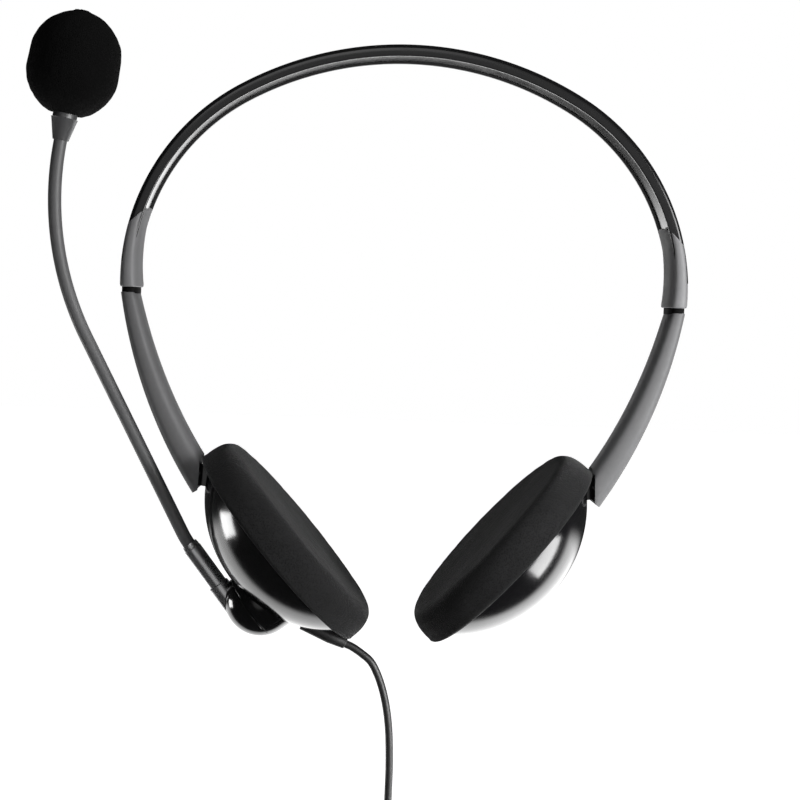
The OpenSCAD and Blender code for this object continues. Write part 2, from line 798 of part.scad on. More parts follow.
module coil_tie() {
    low = coil_r - coil_deep / 2 - 0.6;
    high = coil_r + coil_deep / 2 + 0.1 + tie_wall;
    half = coil_wide / 2 + 0.2;
    color([0.1, 0.1, 0.1]) translate([coil_x, 0, coil_z]) rotate([0, -90, 0]) translate([-tie_len / 2, 0, 0]) difference() {
        translate([0, -half - tie_wall, low - tie_wall])
            cube([tie_len, 2 * (half + tie_wall), high - low + tie_wall]);
        translate([-1, -half, low]) cube([tie_len + 2, 2 * half, high - low - tie_wall]);
    }
}

module on_plug() {
    translate([coil_x, 0, tail_end_z]) rotate([180, 0, 0]) children();
}

module plug_handle() {
    color([0.03, 0.03, 0.03]) on_plug() difference() {
        rotate_extrude() polygon([
            [0, 0], [1.6, 0], [2.4, 8], [4.2, 10], [4.6, 11], [4.6, handle_len - 3],
            [4.1, handle_len - 1], [3.6, handle_len], [0, handle_len]
        ]);
        for (i = [0 : 3]) translate([0, 0, 1.6 + 1.7 * i]) difference() {
            cylinder(r = 4, h = 0.6);
            translate([0, 0, -1]) cylinder(r = 1.5 + 0.17 * i, h = 3);
        }
    }
}

// Lengths of the plug's four contacts, from the handle to the tip
contact_ends = [[0.01, 5.4], [6, 7.7], [8.3, 10]];

module plug_contacts() {
    r = plug_d / 2;
    color([0.78, 0.66, 0.35]) on_plug() translate([0, 0, handle_len]) {
        for (c = contact_ends) translate([0, 0, c[0]]) difference() {
            cylinder(r = r, h = c[1] - c[0], $fn = 48);
            if (c[0] > 1) translate([0, 0, -1]) cylinder(r = r - 0.6, h = 9, $fn = 32);
        }
        rotate_extrude($fn = 48) polygon([
            [0, 10.6], [r, 10.6], [r - 0.35, 11.3], [r - 0.1, 12.2], [0.5, plug_len], [0, plug_len]
        ]);
    }
}

module plug_insulators() {
    r = plug_d / 2;
    color([0.05, 0.05, 0.05]) on_plug() translate([0, 0, handle_len]) {
        for (z = [5.4, 7.7, 10]) translate([0, 0, z + sink]) cylinder(r = r, h = 0.6 - 2 * sink, $fn = 48);
    }
}

headband();
headband_liner();
crossover_wire();
sleeve();  // right_sleeve
left() sleeve();  // left_sleeve
slide_guide();  // right_guide
left() slide_guide();  // left_guide
slider();  // right_slider
left() slider();  // left_slider
arm();  // right_arm
left() arm();  // left_arm
hinge_pin();  // right_hinge_pin
left() hinge_pin();  // left_hinge_pin
right_shell();
left_shell();
baffle();  // right_baffle
left() baffle();  // left_baffle
driver_frame();  // right_driver_frame
left() driver_frame();  // left_driver_frame
driver_magnet();  // right_driver_magnet
left() driver_magnet();  // left_driver_magnet
diaphragm();  // right_diaphragm
left() diaphragm();  // left_diaphragm
screws();  // right_screws
left() screws();  // left_screws
pad();  // right_pad
left() pad();  // left_pad
boom_hub();
boom_washer();
boom_screw();
boom_socket();
boom_tube();
capsule_holder();
mic_capsule();
windscreen();
strain_relief();
cord_lead();
cord_coil();
coil_tie();
cord_tail();
plug_handle();
plug_contacts();
plug_insulators();
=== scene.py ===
"""Looks of an over-the-head stereo headset with a boom microphone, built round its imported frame.

Lengths are metres and angles radians. +Z is up, the wearer faces -Y, and the microphone hangs on the
-X side, which is the wearer's right.
"""

from __future__ import annotations

import json
import logging
import math
from dataclasses import dataclass, field
from enum import Enum
from typing import Any, Sequence

import bpy
from mathutils import Matrix, Vector, noise

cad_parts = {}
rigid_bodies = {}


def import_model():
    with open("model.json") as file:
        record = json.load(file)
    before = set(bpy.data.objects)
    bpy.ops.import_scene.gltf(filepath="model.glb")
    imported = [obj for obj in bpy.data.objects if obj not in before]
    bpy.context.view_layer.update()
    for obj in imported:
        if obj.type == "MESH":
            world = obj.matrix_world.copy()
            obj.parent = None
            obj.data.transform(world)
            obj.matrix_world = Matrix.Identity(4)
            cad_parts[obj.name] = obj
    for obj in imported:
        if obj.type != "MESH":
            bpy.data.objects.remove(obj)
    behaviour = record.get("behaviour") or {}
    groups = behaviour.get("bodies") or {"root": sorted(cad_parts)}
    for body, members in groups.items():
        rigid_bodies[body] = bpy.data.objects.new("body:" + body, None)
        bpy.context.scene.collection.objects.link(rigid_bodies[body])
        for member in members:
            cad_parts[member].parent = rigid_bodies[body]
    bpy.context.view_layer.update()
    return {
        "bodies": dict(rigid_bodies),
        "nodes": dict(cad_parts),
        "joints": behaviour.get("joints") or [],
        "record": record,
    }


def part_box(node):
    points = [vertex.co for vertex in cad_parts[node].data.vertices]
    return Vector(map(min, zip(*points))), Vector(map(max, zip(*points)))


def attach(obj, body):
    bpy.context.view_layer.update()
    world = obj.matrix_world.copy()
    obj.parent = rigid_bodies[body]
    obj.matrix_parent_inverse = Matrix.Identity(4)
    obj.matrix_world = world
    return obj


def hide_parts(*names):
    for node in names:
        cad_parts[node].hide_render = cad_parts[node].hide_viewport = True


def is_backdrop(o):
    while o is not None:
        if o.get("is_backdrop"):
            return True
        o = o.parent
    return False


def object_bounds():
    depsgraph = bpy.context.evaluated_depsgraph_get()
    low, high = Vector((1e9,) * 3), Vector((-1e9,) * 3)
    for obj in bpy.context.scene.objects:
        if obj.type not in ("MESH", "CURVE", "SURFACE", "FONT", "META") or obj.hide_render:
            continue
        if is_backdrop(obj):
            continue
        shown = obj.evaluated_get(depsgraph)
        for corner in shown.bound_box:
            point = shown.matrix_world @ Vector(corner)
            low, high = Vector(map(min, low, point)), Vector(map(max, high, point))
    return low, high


log = logging.getLogger("headset")

TINY = 1e-6
EASED = 0.0002
ALONG_Y = (0.0, 1.0, 0.0)
SENSOR = 36.0
CLOUDS, SPECKS, WEAR = 60.0, 900.0, 140.0
Point = tuple[float, float]
Place = tuple[float, float, float]
Colour = tuple[float, float, float]
Piece = bpy.types.Object


class Side(Enum):
    """The two ends of the headband, by the sign of X on the wearer's right and left."""

    RIGHT = "right"
    LEFT = "left"

    def node(self, part: str) -> str:
        """Name of this side's piece or moving body."""
        return f"{self.value}_{part}"


def blend_value(start: float, end: float, share: float) -> float:
    """The value that lies a share of the way from start to end."""
    return start + (end - start) * share


def ease(share: float) -> float:
    """Turns a share from 0 to 1 into a soft start and stop."""
    share = min(1.0, max(0.0, share))
    return share * share * (3.0 - 2.0 * share)


def arc(centre: Point, radius: float, start: float, end: float, steps: int) -> list[Point]:
    """Points on a circle's arc.

    Args:
        centre: The circle's middle.
        radius: Its radius.
        start: Angle of the first point in degrees.
        end: Angle of the last point in degrees.
        steps: How many equal steps the arc has.

    Returns:
        The points from start to end.
    """
    turns = [math.radians(blend_value(start, end, i / steps)) for i in range(steps + 1)]
    return [(centre[0] + radius * math.cos(a), centre[1] + radius * math.sin(a)) for a in turns]


# ---- Modelling ----


class Bench:
    """Modelling steps that every piece shares."""

    @staticmethod
    def clear() -> None:
        """Leaves edit mode and deselects every object."""
        if bpy.context.mode != "OBJECT":
            bpy.ops.object.mode_set(mode="OBJECT")
        bpy.ops.object.select_all(action="DESELECT")

    @classmethod
    def hold(cls, piece: Piece) -> None:
        """Selects one object and makes it the active one."""
        cls.clear()
        piece.select_set(True)
        bpy.context.view_layer.objects.active = piece

    @classmethod
    def outline(cls, name: str, points: Sequence[Vector], closed: bool = False) -> Piece:
        """Draws a chain of edges and stays in edit mode with the chain selected.

        Args:
            name: Name of the new piece.
            points: The chain's corners in order.
            closed: Whether the last corner joins the first.

        Returns:
            The new piece, whose mesh is one chain of edges.
        """
        cls.clear()
        bpy.ops.mesh.primitive_plane_add(size=0.001, location=points[0])
        piece = bpy.context.object
        piece.name = name
        piece.data.name = name
        bpy.ops.object.mode_set(mode="EDIT")
        bpy.ops.mesh.select_mode(type="VERT")
        bpy.ops.mesh.select_all(action="SELECT")
        bpy.ops.mesh.merge(type="CENTER")
        for here, there in zip(points, points[1:]):
            bpy.ops.mesh.extrude_region_move(TRANSFORM_OT_translate={"value": there - here})
        bpy.ops.mesh.select_all(action="SELECT")
        if closed:
            bpy.ops.mesh.edge_face_add()
            bpy.ops.mesh.delete(type="ONLY_FACE")
            bpy.ops.mesh.select_all(action="SELECT")
        return piece

    @staticmethod
    def turn(angle: float, steps: int, centre: Sequence[float], axis: Sequence[float]) -> None:
        """Spins the selected edges and leaves the last copy selected."""
        bpy.ops.mesh.spin(steps=steps, angle=-angle, center=centre, axis=axis)

    @staticmethod
    def push(step: Sequence[float]) -> None:
        """Extrudes what is selected along a step."""
        bpy.ops.mesh.extrude_region_move(TRANSFORM_OT_translate={"value": step})

    @staticmethod
    def swing(angle: float, centre: Sequence[float]) -> None:
        """Turns what is selected about a line along Y through a point."""
        bpy.ops.transform.rotate(value=-angle, orient_axis="Y", center_override=centre)

    @classmethod
    def close(cls, piece: Piece, smooth: float = 35.0, fill: bool = True) -> Piece:
        """Ends an edit: seams merged, open ends filled, faces turned outwards, shading smoothed.

        Args:
            piece: The piece in hand.
            smooth: Edges flatter than this many degrees are shaded smooth.
            fill: Whether open ends get a face.

        Returns:
            The piece, in object mode, with its place in its mesh.
        """
        cls.hold(piece)
        bpy.ops.object.transform_apply(location=True, rotation=True, scale=True)
        bpy.ops.object.mode_set(mode="EDIT")
        bpy.ops.mesh.select_all(action="SELECT")
        bpy.ops.mesh.remove_doubles(threshold=TINY)
        if fill:
            bpy.ops.mesh.fill_holes(sides=0)
        bpy.ops.mesh.select_all(action="SELECT")
        bpy.ops.mesh.normals_make_consistent(inside=False)
        bpy.ops.object.mode_set(mode="OBJECT")
        bpy.ops.object.shade_smooth_by_angle(angle=math.radians(smooth))
        return piece

    @classmethod
    def lathe(cls, name: str, profile: Sequence[Point], steps: int = 96, smooth: float = 35.0) -> Piece:
        """Turns a profile about Z.

        Args:
            name: Name of the new piece.
            profile: Radius and height of each corner, in order.
            steps: How many steps the full turn has.
            smooth: Edges flatter than this many degrees are shaded smooth.

        Returns:
            The turned piece.
        """
        piece = cls.outline(name, [Vector((r, 0.0, z)) for r, z in profile])
        cls.turn(math.tau, steps, (0.0, 0.0, 0.0), (0.0, 0.0, 1.0))
        return cls.close(piece, smooth)

    @classmethod
    def place(cls, piece: Piece, frame: Matrix) -> Piece:
        """Moves a piece into a frame and bakes the move into its mesh."""
        cls.hold(piece)
        piece.matrix_world = frame @ piece.matrix_world
        bpy.ops.object.transform_apply(location=True, rotation=True, scale=True)
        return piece

    @classmethod
    def across(cls, piece: Piece, name: str) -> Piece:
        """Copies a piece to the other side of the head.

        Args:
            piece: The piece on one side.
            name: Name of the copy.

        Returns:
            The mirrored copy, with its own mesh.
        """
        cls.hold(piece)
        bpy.ops.object.duplicate(linked=False)
        copy = bpy.context.object
        copy.name = name
        copy.data.name = name
        copy.scale = (-1.0, 1.0, 1.0)
        bpy.ops.object.transform_apply(location=True, rotation=True, scale=True)
        bpy.ops.object.mode_set(mode="EDIT")
        bpy.ops.mesh.select_all(action="SELECT")
        bpy.ops.mesh.normals_make_consistent(inside=False)
        bpy.ops.object.mode_set(mode="OBJECT")
        return copy

    @classmethod
    def apply(cls, piece: Piece, kind: str, **settings: Any) -> Piece:
        """Adds a modifier, sets it and applies it."""
        cls.hold(piece)
        bpy.ops.object.modifier_add(type=kind)
        modifier = piece.modifiers[-1]
        for key, value in settings.items():
            setattr(modifier, key, value)
        bpy.ops.object.modifier_apply(modifier=modifier.name)
        return piece

    @classmethod
    def combine(cls, piece: Piece, tool: Piece, operation: str) -> Piece:
        """Cuts a tool from a piece, or joins it on, and throws the tool away."""
        cls.apply(piece, "BOOLEAN", object=tool, operation=operation, solver="EXACT")
        bpy.data.objects.remove(tool)
        return piece

    @classmethod
    def soften(cls, piece: Piece, angle: float = 30.0) -> Piece:
        """Rounds the edges that are sharper than an angle in degrees."""
        limit = math.radians(angle)
        return cls.apply(piece, "BEVEL", width=EASED, segments=2, limit_method="ANGLE", angle_limit=limit)

    @classmethod
    def trim(cls, piece: Piece, place: Sequence[float], normal: Sequence[float]) -> Piece:
        """Cuts away what lies past a plane, fills the cut and rounds its edges.

        Args:
            piece: The piece to cut.
            place: A point of the plane.
            normal: The plane's normal, towards what goes.

        Returns:
            The cut piece, in object mode.
        """
        cls.hold(piece)
        bpy.ops.object.mode_set(mode="EDIT")
        bpy.ops.mesh.select_all(action="SELECT")
        bpy.ops.mesh.bisect(plane_co=place, plane_no=normal, use_fill=True, clear_outer=True)
        bpy.ops.object.mode_set(mode="OBJECT")
        return cls.soften(piece, 40.0)

    @classmethod
    def hull(cls, pieces: Sequence[Piece]) -> Piece:
        """Wraps several pieces in one tight skin."""
        cls.clear()
        for piece in pieces:
            piece.select_set(True)
        bpy.context.view_layer.objects.active = pieces[0]
        bpy.ops.object.join()
        bpy.ops.object.mode_set(mode="EDIT")
        bpy.ops.mesh.select_all(action="SELECT")
        bpy.ops.mesh.convex_hull()
        bpy.ops.object.mode_set(mode="OBJECT")
        return bpy.context.object


# ---- Finishes ----


class Signal:
    """A shader value that takes part in Python arithmetic."""

    def __init__(self, graph: "Graph", socket: bpy.types.NodeSocket) -> None:
        """Wraps a node's output socket."""
        self.graph = graph
        self.socket = socket

    def _math(self, operation: str, first: Any, second: Any) -> "Signal":
        """Adds one Math node and returns its result."""
        node = self.graph.node("ShaderNodeMath", {"operation": operation}, {0: first, 1: second})
        return Signal(self.graph, node.outputs[0])

    def __add__(self, other: Any) -> "Signal":
        """Sum."""
        return self._math("ADD", self, other)

    def __radd__(self, other: Any) -> "Signal":
        """Sum with a number on the left."""
        return self._math("ADD", other, self)

    def __mul__(self, other: Any) -> "Signal":
        """Product."""
        return self._math("MULTIPLY", self, other)

    def __rmul__(self, other: Any) -> "Signal":
        """Product with a number on the left."""
        return self._math("MULTIPLY", other, self)


class Graph:
    """A node tree, with one way to add a node and to feed a socket."""

    def __init__(self, tree: bpy.types.NodeTree) -> None:
        """Takes a node tree over."""
        self.tree = tree

    def node(self, kind: str, settings: dict[str, Any], inputs: dict[Any, Any]) -> bpy.types.Node:
        """Adds a node.

        Args:
            kind: The node's type.
            settings: Attributes that are set first; "stops" gives a colour ramp's places and colours.
            inputs: Values or signals of its sockets, by name or number.

        Returns:
            The new node.
        """
        node = self.tree.nodes.new(kind)
        for key, value in settings.items():
            if key == "stops":
                self._ramp(node, value)
            else:
                setattr(node, key, value)
        for key, value in inputs.items():
            self.feed(node.inputs[key], value)
        return node

    def feed(self, socket: bpy.types.NodeSocket, value: Any) -> None:
        """Links a signal to a socket, or sets a plain value on it."""
        if isinstance(value, Signal):
            self.tree.links.new(value.socket, socket)
        else:
            socket.default_value = value

    @staticmethod
    def _ramp(node: bpy.types.Node, stops: Sequence[tuple[float, float]]) -> None:
        """Sets a colour ramp to greys at places from 0 to 1."""
        elements = node.color_ramp.elements
        while len(elements) < len(stops):
            elements.new(0.5)
        for element, (place, grey) in zip(elements, stops):
            element.position = place
            element.color = (grey, grey, grey, 1.0)

    def ramp(self, value: Signal, stops: Sequence[tuple[float, float]]) -> Signal:
        """Bends a value through grey stops."""
        node = self.node("ShaderNodeValToRGB", {"stops": stops}, {"Fac": value})
        return Signal(self, node.outputs["Color"])

    def fade(self, value: Signal, low: float, high: float) -> Signal:
        """Rises softly from 0 to 1 as a value goes from low to high."""
        limits = {"Value": value, "From Min": low, "From Max": high}
        node = self.node("ShaderNodeMapRange", {"interpolation_type": "SMOOTHSTEP"}, limits)
        return Signal(self, node.outputs["Result"])

    def choose(self, ray: str, other: Any, chosen: Any) -> Signal:
        """Gives one value to a kind of ray and another to the rest."""
        path = self.node("ShaderNodeLightPath", {}, {})
        share = Signal(self, path.outputs[ray])
        node = self.node("ShaderNodeMix", {}, {"Factor": share, "A": other, "B": chosen})
        return Signal(self, node.outputs["Result"])


class Shader(Graph):
    """One material's node tree, with the steps that all finishes share."""

    def __init__(self, name: str) -> None:
        """Starts a material of this name."""
        self.material = bpy.data.materials.new(name)
        self.material.use_nodes = True
        super().__init__(self.material.node_tree)
        self.surface = self.tree.nodes["Principled BSDF"]
        self.place = Signal(self, self.node("ShaderNodeTexCoord", {}, {}).outputs["Object"])

    def grain(self, scale: float, detail: float = 2.0) -> Signal:
        """Cloudy noise from 0 to 1, with about `scale` clouds to a metre."""
        node = self.node("ShaderNodeTexNoise", {}, {"Vector": self.place, "Scale": scale, "Detail": detail})
        return Signal(self, node.outputs["Fac"])

    def cells(self, scale: float) -> Signal:
        """Distance from the middle of each of many small cells."""
        node = self.node("ShaderNodeTexVoronoi", {}, {"Vector": self.place, "Scale": scale})
        return Signal(self, node.outputs["Distance"])

    def tint(self, share: Signal, low: Sequence[float], high: Sequence[float]) -> Signal:
        """Mixes two colours by a share."""
        node = self.node(
            "ShaderNodeMix", {"data_type": "RGBA"}, {"Factor": share, 6: (*low, 1.0), 7: (*high, 1.0)}
        )
        return Signal(self, node.outputs[2])

    def relief(self, height: Signal, depth: float) -> None:
        """Raises fine relief of a real depth on the surface."""
        node = self.node("ShaderNodeBump", {}, {"Height": height, "Distance": depth, "Strength": 1.0})
        self.feed(self.surface.inputs["Normal"], Signal(self, node.outputs["Normal"]))

    def set(self, **values: Any) -> None:
        """Sets or links the surface's sockets, by their names with _ for a space."""
        for key, value in values.items():
            self.feed(self.surface.inputs[key.replace("_", " ")], value)


@dataclass(frozen=True)
class Moulding:
    """A moulded or painted finish: gloss, satin or matte.

    Attributes:
        name: Name of the material and of the record's slot.
        dark: Colour in its darker clouds.
        light: Colour in its lighter clouds.
        rough: Lowest and highest roughness.
        metal: Share of metal in the paint.
        grain: How many grains of relief there are to a metre.
        depth: Depth of that relief.
        specular: Level of the surface's reflection.
    """

    name: str
    dark: Colour
    light: Colour
    rough: tuple[float, float]
    metal: float = 0.0
    grain: float = 3000.0
    depth: float = 0.000004
    specular: float = 0.5

    def make(self) -> bpy.types.Material:
        """Builds the material."""
        shop = Shader(self.name)
        clouds, specks, wear = shop.grain(CLOUDS, 3.0), shop.grain(SPECKS), shop.grain(WEAR, 4.0)
        low, high = self.rough
        shop.set(
            Base_Color=shop.tint(clouds * 0.6 + specks * 0.4, self.dark, self.light),
            Roughness=low + (high - low) * shop.ramp(wear, [(0.3, 0.0), (0.7, 1.0)]),
            Metallic=self.metal,
        )
        shop.surface.inputs["Specular IOR Level"].default_value = self.specular
        shop.relief(shop.grain(self.grain, 2.0), self.depth)
        return shop.material


@dataclass(frozen=True)
class Foam:
    """Open-cell foam, with pores and soft speckle.

    Attributes:
        name: Name of the material and of the record's slot.
        pore: Colour down in the pores.
        wall: Colour of the cell walls.
        cell: How many cells there are to a metre.
        depth: Depth of a pore.
        sheen: Weight of the soft light on its outline.
        sheen_rough: Roughness of that light.
        specular: Level of the surface's reflection.
    """

    name: str
    pore: Colour
    wall: Colour
    cell: float
    depth: float
    sheen: float
    sheen_rough: float = 0.35
    specular: float = 0.08

    def make(self) -> bpy.types.Material:
        """Builds the material."""
        shop = Shader(self.name)
        pores = shop.ramp(shop.cells(self.cell), [(0.12, 0.0), (0.55, 1.0)])
        blotch = shop.grain(180.0, 3.0)
        shop.set(
            Base_Color=shop.tint(pores * 0.75 + blotch * 0.25, self.pore, self.wall),
            Roughness=0.9 + 0.1 * pores,
        )
        shop.surface.inputs["Sheen Weight"].default_value = self.sheen
        shop.surface.inputs["Sheen Roughness"].default_value = self.sheen_rough
        shop.surface.inputs["Specular IOR Level"].default_value = self.specular
        shop.relief(pores * 0.8 + shop.grain(self.cell * 1.7, 2.0) * 0.4, self.depth)
        return shop.material


@dataclass(frozen=True)
class Metal:
    """Bare or plated metal with fine brushing.

    Attributes:
        name: Name of the material and of the record's slot.
        colour: The metal's colour.
        rough: Lowest and highest roughness.
        stretch: How much longer than wide the brushing is, along Y.
        lines: How many lines of brushing there are to a metre.
        depth: Depth of the brushing.
    """

    name: str
    colour: Colour
    rough: tuple[float, float]
    stretch: float = 12.0
    lines: float = 2500.0
    depth: float = 0.000003

    def make(self) -> bpy.types.Material:
        """Builds the material."""
        shop = Shader(self.name)
        drawn = shop.node("ShaderNodeMapping", {}, {"Vector": shop.place, "Scale": (1.0, 1.0 / self.stretch, 1.0)})
        lines = {"Vector": Signal(shop, drawn.outputs[0]), "Scale": self.lines, "Detail": 2.0}
        brushing = Signal(shop, shop.node("ShaderNodeTexNoise", {}, lines).outputs["Fac"])
        low, high = self.rough
        worn = tuple(0.8 * c for c in self.colour)
        shop.set(
            Base_Color=shop.tint(shop.grain(120.0, 3.0), worn, self.colour),
            Roughness=low + (high - low) * brushing,
            Metallic=1.0,
        )
        shop.relief(brushing, self.depth)
        return shop.material


class Finishes:
    """Every finish of the headset, made once and looked up by the record's slot."""

    ALL = (
        Moulding("gloss_band", (0.004, 0.004, 0.0043), (0.007, 0.007, 0.0074), (0.14, 0.22), specular=0.4),
        Moulding("liner", (0.012, 0.012, 0.0125), (0.02, 0.02, 0.0205), (0.12, 0.18), grain=1800.0, depth=0.000002),
        Moulding("wire", (0.03, 0.03, 0.03), (0.05, 0.05, 0.05), (0.5, 0.6)),
        Moulding("satin_sleeve", (0.15, 0.15, 0.153), (0.2, 0.2, 0.204), (0.5, 0.58), specular=0.25),
        Moulding("dark_guide", (0.0005, 0.0005, 0.0005), (0.001, 0.001, 0.001), (0.7, 0.8), specular=0.1),
        Metal("steel_strip", (0.62, 0.62, 0.63), (0.22, 0.34)),
        Moulding("satin_arm", (0.1, 0.1, 0.102), (0.14, 0.14, 0.143), (0.5, 0.58), specular=0.25),
        Metal("steel_pin", (0.6, 0.6, 0.61), (0.2, 0.3)),
        Moulding("gloss_shell", (0.003, 0.003, 0.0035), (0.006, 0.006, 0.0065), (0.1, 0.16)),
        Moulding("matte_baffle", (0.02, 0.02, 0.02), (0.035, 0.035, 0.035), (0.6, 0.75), depth=0.00001),
        Metal("driver_steel", (0.3, 0.3, 0.31), (0.35, 0.5)),
        Metal("magnet", (0.5, 0.5, 0.52), (0.3, 0.4)),
        Moulding("diaphragm", (0.5, 0.48, 0.4), (0.6, 0.58, 0.5), (0.25, 0.35)),
        Metal("screw_steel", (0.35, 0.35, 0.36), (0.25, 0.4)),
        Foam("ear_foam", (0.004, 0.004, 0.0042), (0.018, 0.018, 0.0184), 2600.0, 0.00012, 0.12),
        Moulding("boom_socket", (0.42, 0.42, 0.425), (0.5, 0.5, 0.505), (0.24, 0.32), metal=0.85),
        Moulding("boom_skin", (0.1, 0.1, 0.102), (0.15, 0.15, 0.152), (0.45, 0.55), depth=0.000006, specular=0.3),
        Moulding("boom_collar", (0.06, 0.06, 0.062), (0.09, 0.09, 0.092), (0.35, 0.45)),
        Metal("capsule_metal", (0.6, 0.58, 0.5), (0.3, 0.4)),
        Foam("mic_foam", (0.0006, 0.0006, 0.0006), (0.003, 0.003, 0.003), 2600.0, 0.00012, 0.0),
        Moulding("cord_rubber", (0.012, 0.012, 0.012), (0.025, 0.025, 0.025), (0.45, 0.55), depth=0.00001),
        Moulding("cord_jacket", (0.012, 0.012, 0.012), (0.022, 0.022, 0.022), (0.38, 0.48)),
        Moulding("tie", (0.02, 0.02, 0.02), (0.05, 0.05, 0.05), (0.8, 0.95), grain=5000.0, depth=0.00008),
        Moulding("plug_grip", (0.012, 0.012, 0.012), (0.025, 0.025, 0.025), (0.4, 0.5), depth=0.00001),
        Metal("gold", (0.9, 0.68, 0.3), (0.15, 0.24)),
        Moulding("plug_ring", (0.01, 0.01, 0.01), (0.02, 0.02, 0.02), (0.3, 0.4)),
    )

    def __init__(self) -> None:
        """Builds all the materials."""
        self.made = {finish.name: finish.make() for finish in self.ALL}

    def coat(self, piece: Piece, slot: str) -> None:
        """Gives a piece one finish all over."""
        piece.data.materials.clear()
        piece.data.materials.append(self.made[slot])


@dataclass
class Workshop:
    """What every sub-assembly needs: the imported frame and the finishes."""

    frame: dict[str, Any]
    finishes: Finishes

    def fit(self, piece: Piece, body: str, slot: str, *nodes: str) -> None:
        """Puts a finished piece on its body in place of the nodes it stands for.

        Args:
            piece: The finished piece.
            body: The body it moves with.
            slot: The record's slot of its finish.
            nodes: The nodes it stands for.
        """
        self.finishes.coat(piece, slot)
        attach(piece, body)
        if nodes:
            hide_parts(*nodes)
        log.info("%s: %d faces, rides on %s", piece.name, len(getattr(piece.data, "polygons", ())), body)

    def fit_sides(self, right: Piece, slot: str, part: str, limb: str = "") -> None:
        """Mirrors the right side's piece and fits both.

        Args:
            right: The piece on the wearer's right, named for its side.
            slot: The record's slot of its finish.
            part: The node it stands for, without its side.
            limb: The side's body that carries it, or nothing for the headband.
        """
        left = Bench.across(right, right.name.replace(Side.RIGHT.value, Side.LEFT.value))
        for side, piece in ((Side.RIGHT, right), (Side.LEFT, left)):
            self.fit(piece, side.node(limb) if limb else "headband", slot, side.node(part))

    def dress_nodes(self) -> None:
        """Gives every node that is shown as it was packed the finish of its slot."""
        for part in self.frame["record"]["subparts"]:
            self.finishes.coat(self.frame["nodes"][part["node"]], part["material_slot"])


# ---- Frames of the headset, repeated from the part ----


def tilt(angle: float) -> Matrix:
    """A turn about Y by an angle in degrees, from +Z towards +X."""
    return Matrix.Rotation(math.radians(angle), 4, "Y")


def along(place: Vector, way: Vector) -> Matrix:
    """A frame at a place, whose z runs along a way."""
    return Matrix.Translation(place) @ way.to_track_quat("Z", "Y").to_matrix().to_4x4()


def level(height: float) -> Matrix:
    """A step along z."""
    return Matrix.Translation((0.0, 0.0, height))


def outward(length: float) -> Matrix:
    """A step along x."""
    return Matrix.Translation((length, 0.0, 0.0))


def lumps(place: Vector, layers: Sequence[Point]) -> float:
    """Height of foam's unevenness at a place, from layers of noise, each with its scale and height."""
    return sum(noise.noise(place * scale) * height for scale, height in layers)


def midplane(point: Point) -> Vector:
    """The place at an X and Z midway between front and back."""
    return Vector((point[0], 0.0, point[1]))


@dataclass(frozen=True)
class Layout:
    """Places and angles that several pieces share, on the microphone side."""

    cup: Matrix = outward(-0.0282538) @ tilt(48.75)
    hinge: Vector = field(default_factory=lambda: Vector((-0.0549652, 0.0, 0.016264)))
    rim: float = -0.0048
    dome_radius: float = 0.036
    rim_radius: float = 0.0296
    swing: tuple[float, float] = (-3.0, 12.0)
    slide_low: float = 0.0663678
    hub_place: Point = (0.00794, -0.02477)
    hub_turn: float = 3.45
    hub_radius: float = 0.01
    hub_middle: float = 0.007

    @property
    def dome_middle(self) -> float:
        """Height of the dome's centre in the cup's frame."""
        return self.rim + math.sqrt(self.dome_radius**2 - self.rim_radius**2)

    @property
    def hub(self) -> Matrix:
        """The boom hub's frame, whose z is the boom's axis."""
        return self.cup @ Matrix.Translation(midplane(self.hub_place)) @ tilt(self.hub_turn)

    @property
    def boom(self) -> Matrix:
        """The boom's frame, whose x runs out along the boom."""
        return self.hub @ Matrix.Rotation(math.pi, 4, "Z")

    def swung(self, angle: float) -> Matrix:
        """The cup's frame with the cup turned on its hinge by an angle in degrees."""
        about = Matrix.Translation(self.hinge)
        return about @ tilt(angle) @ about.inverted() @ self.cup


# ---- Cord, coil and plug ----


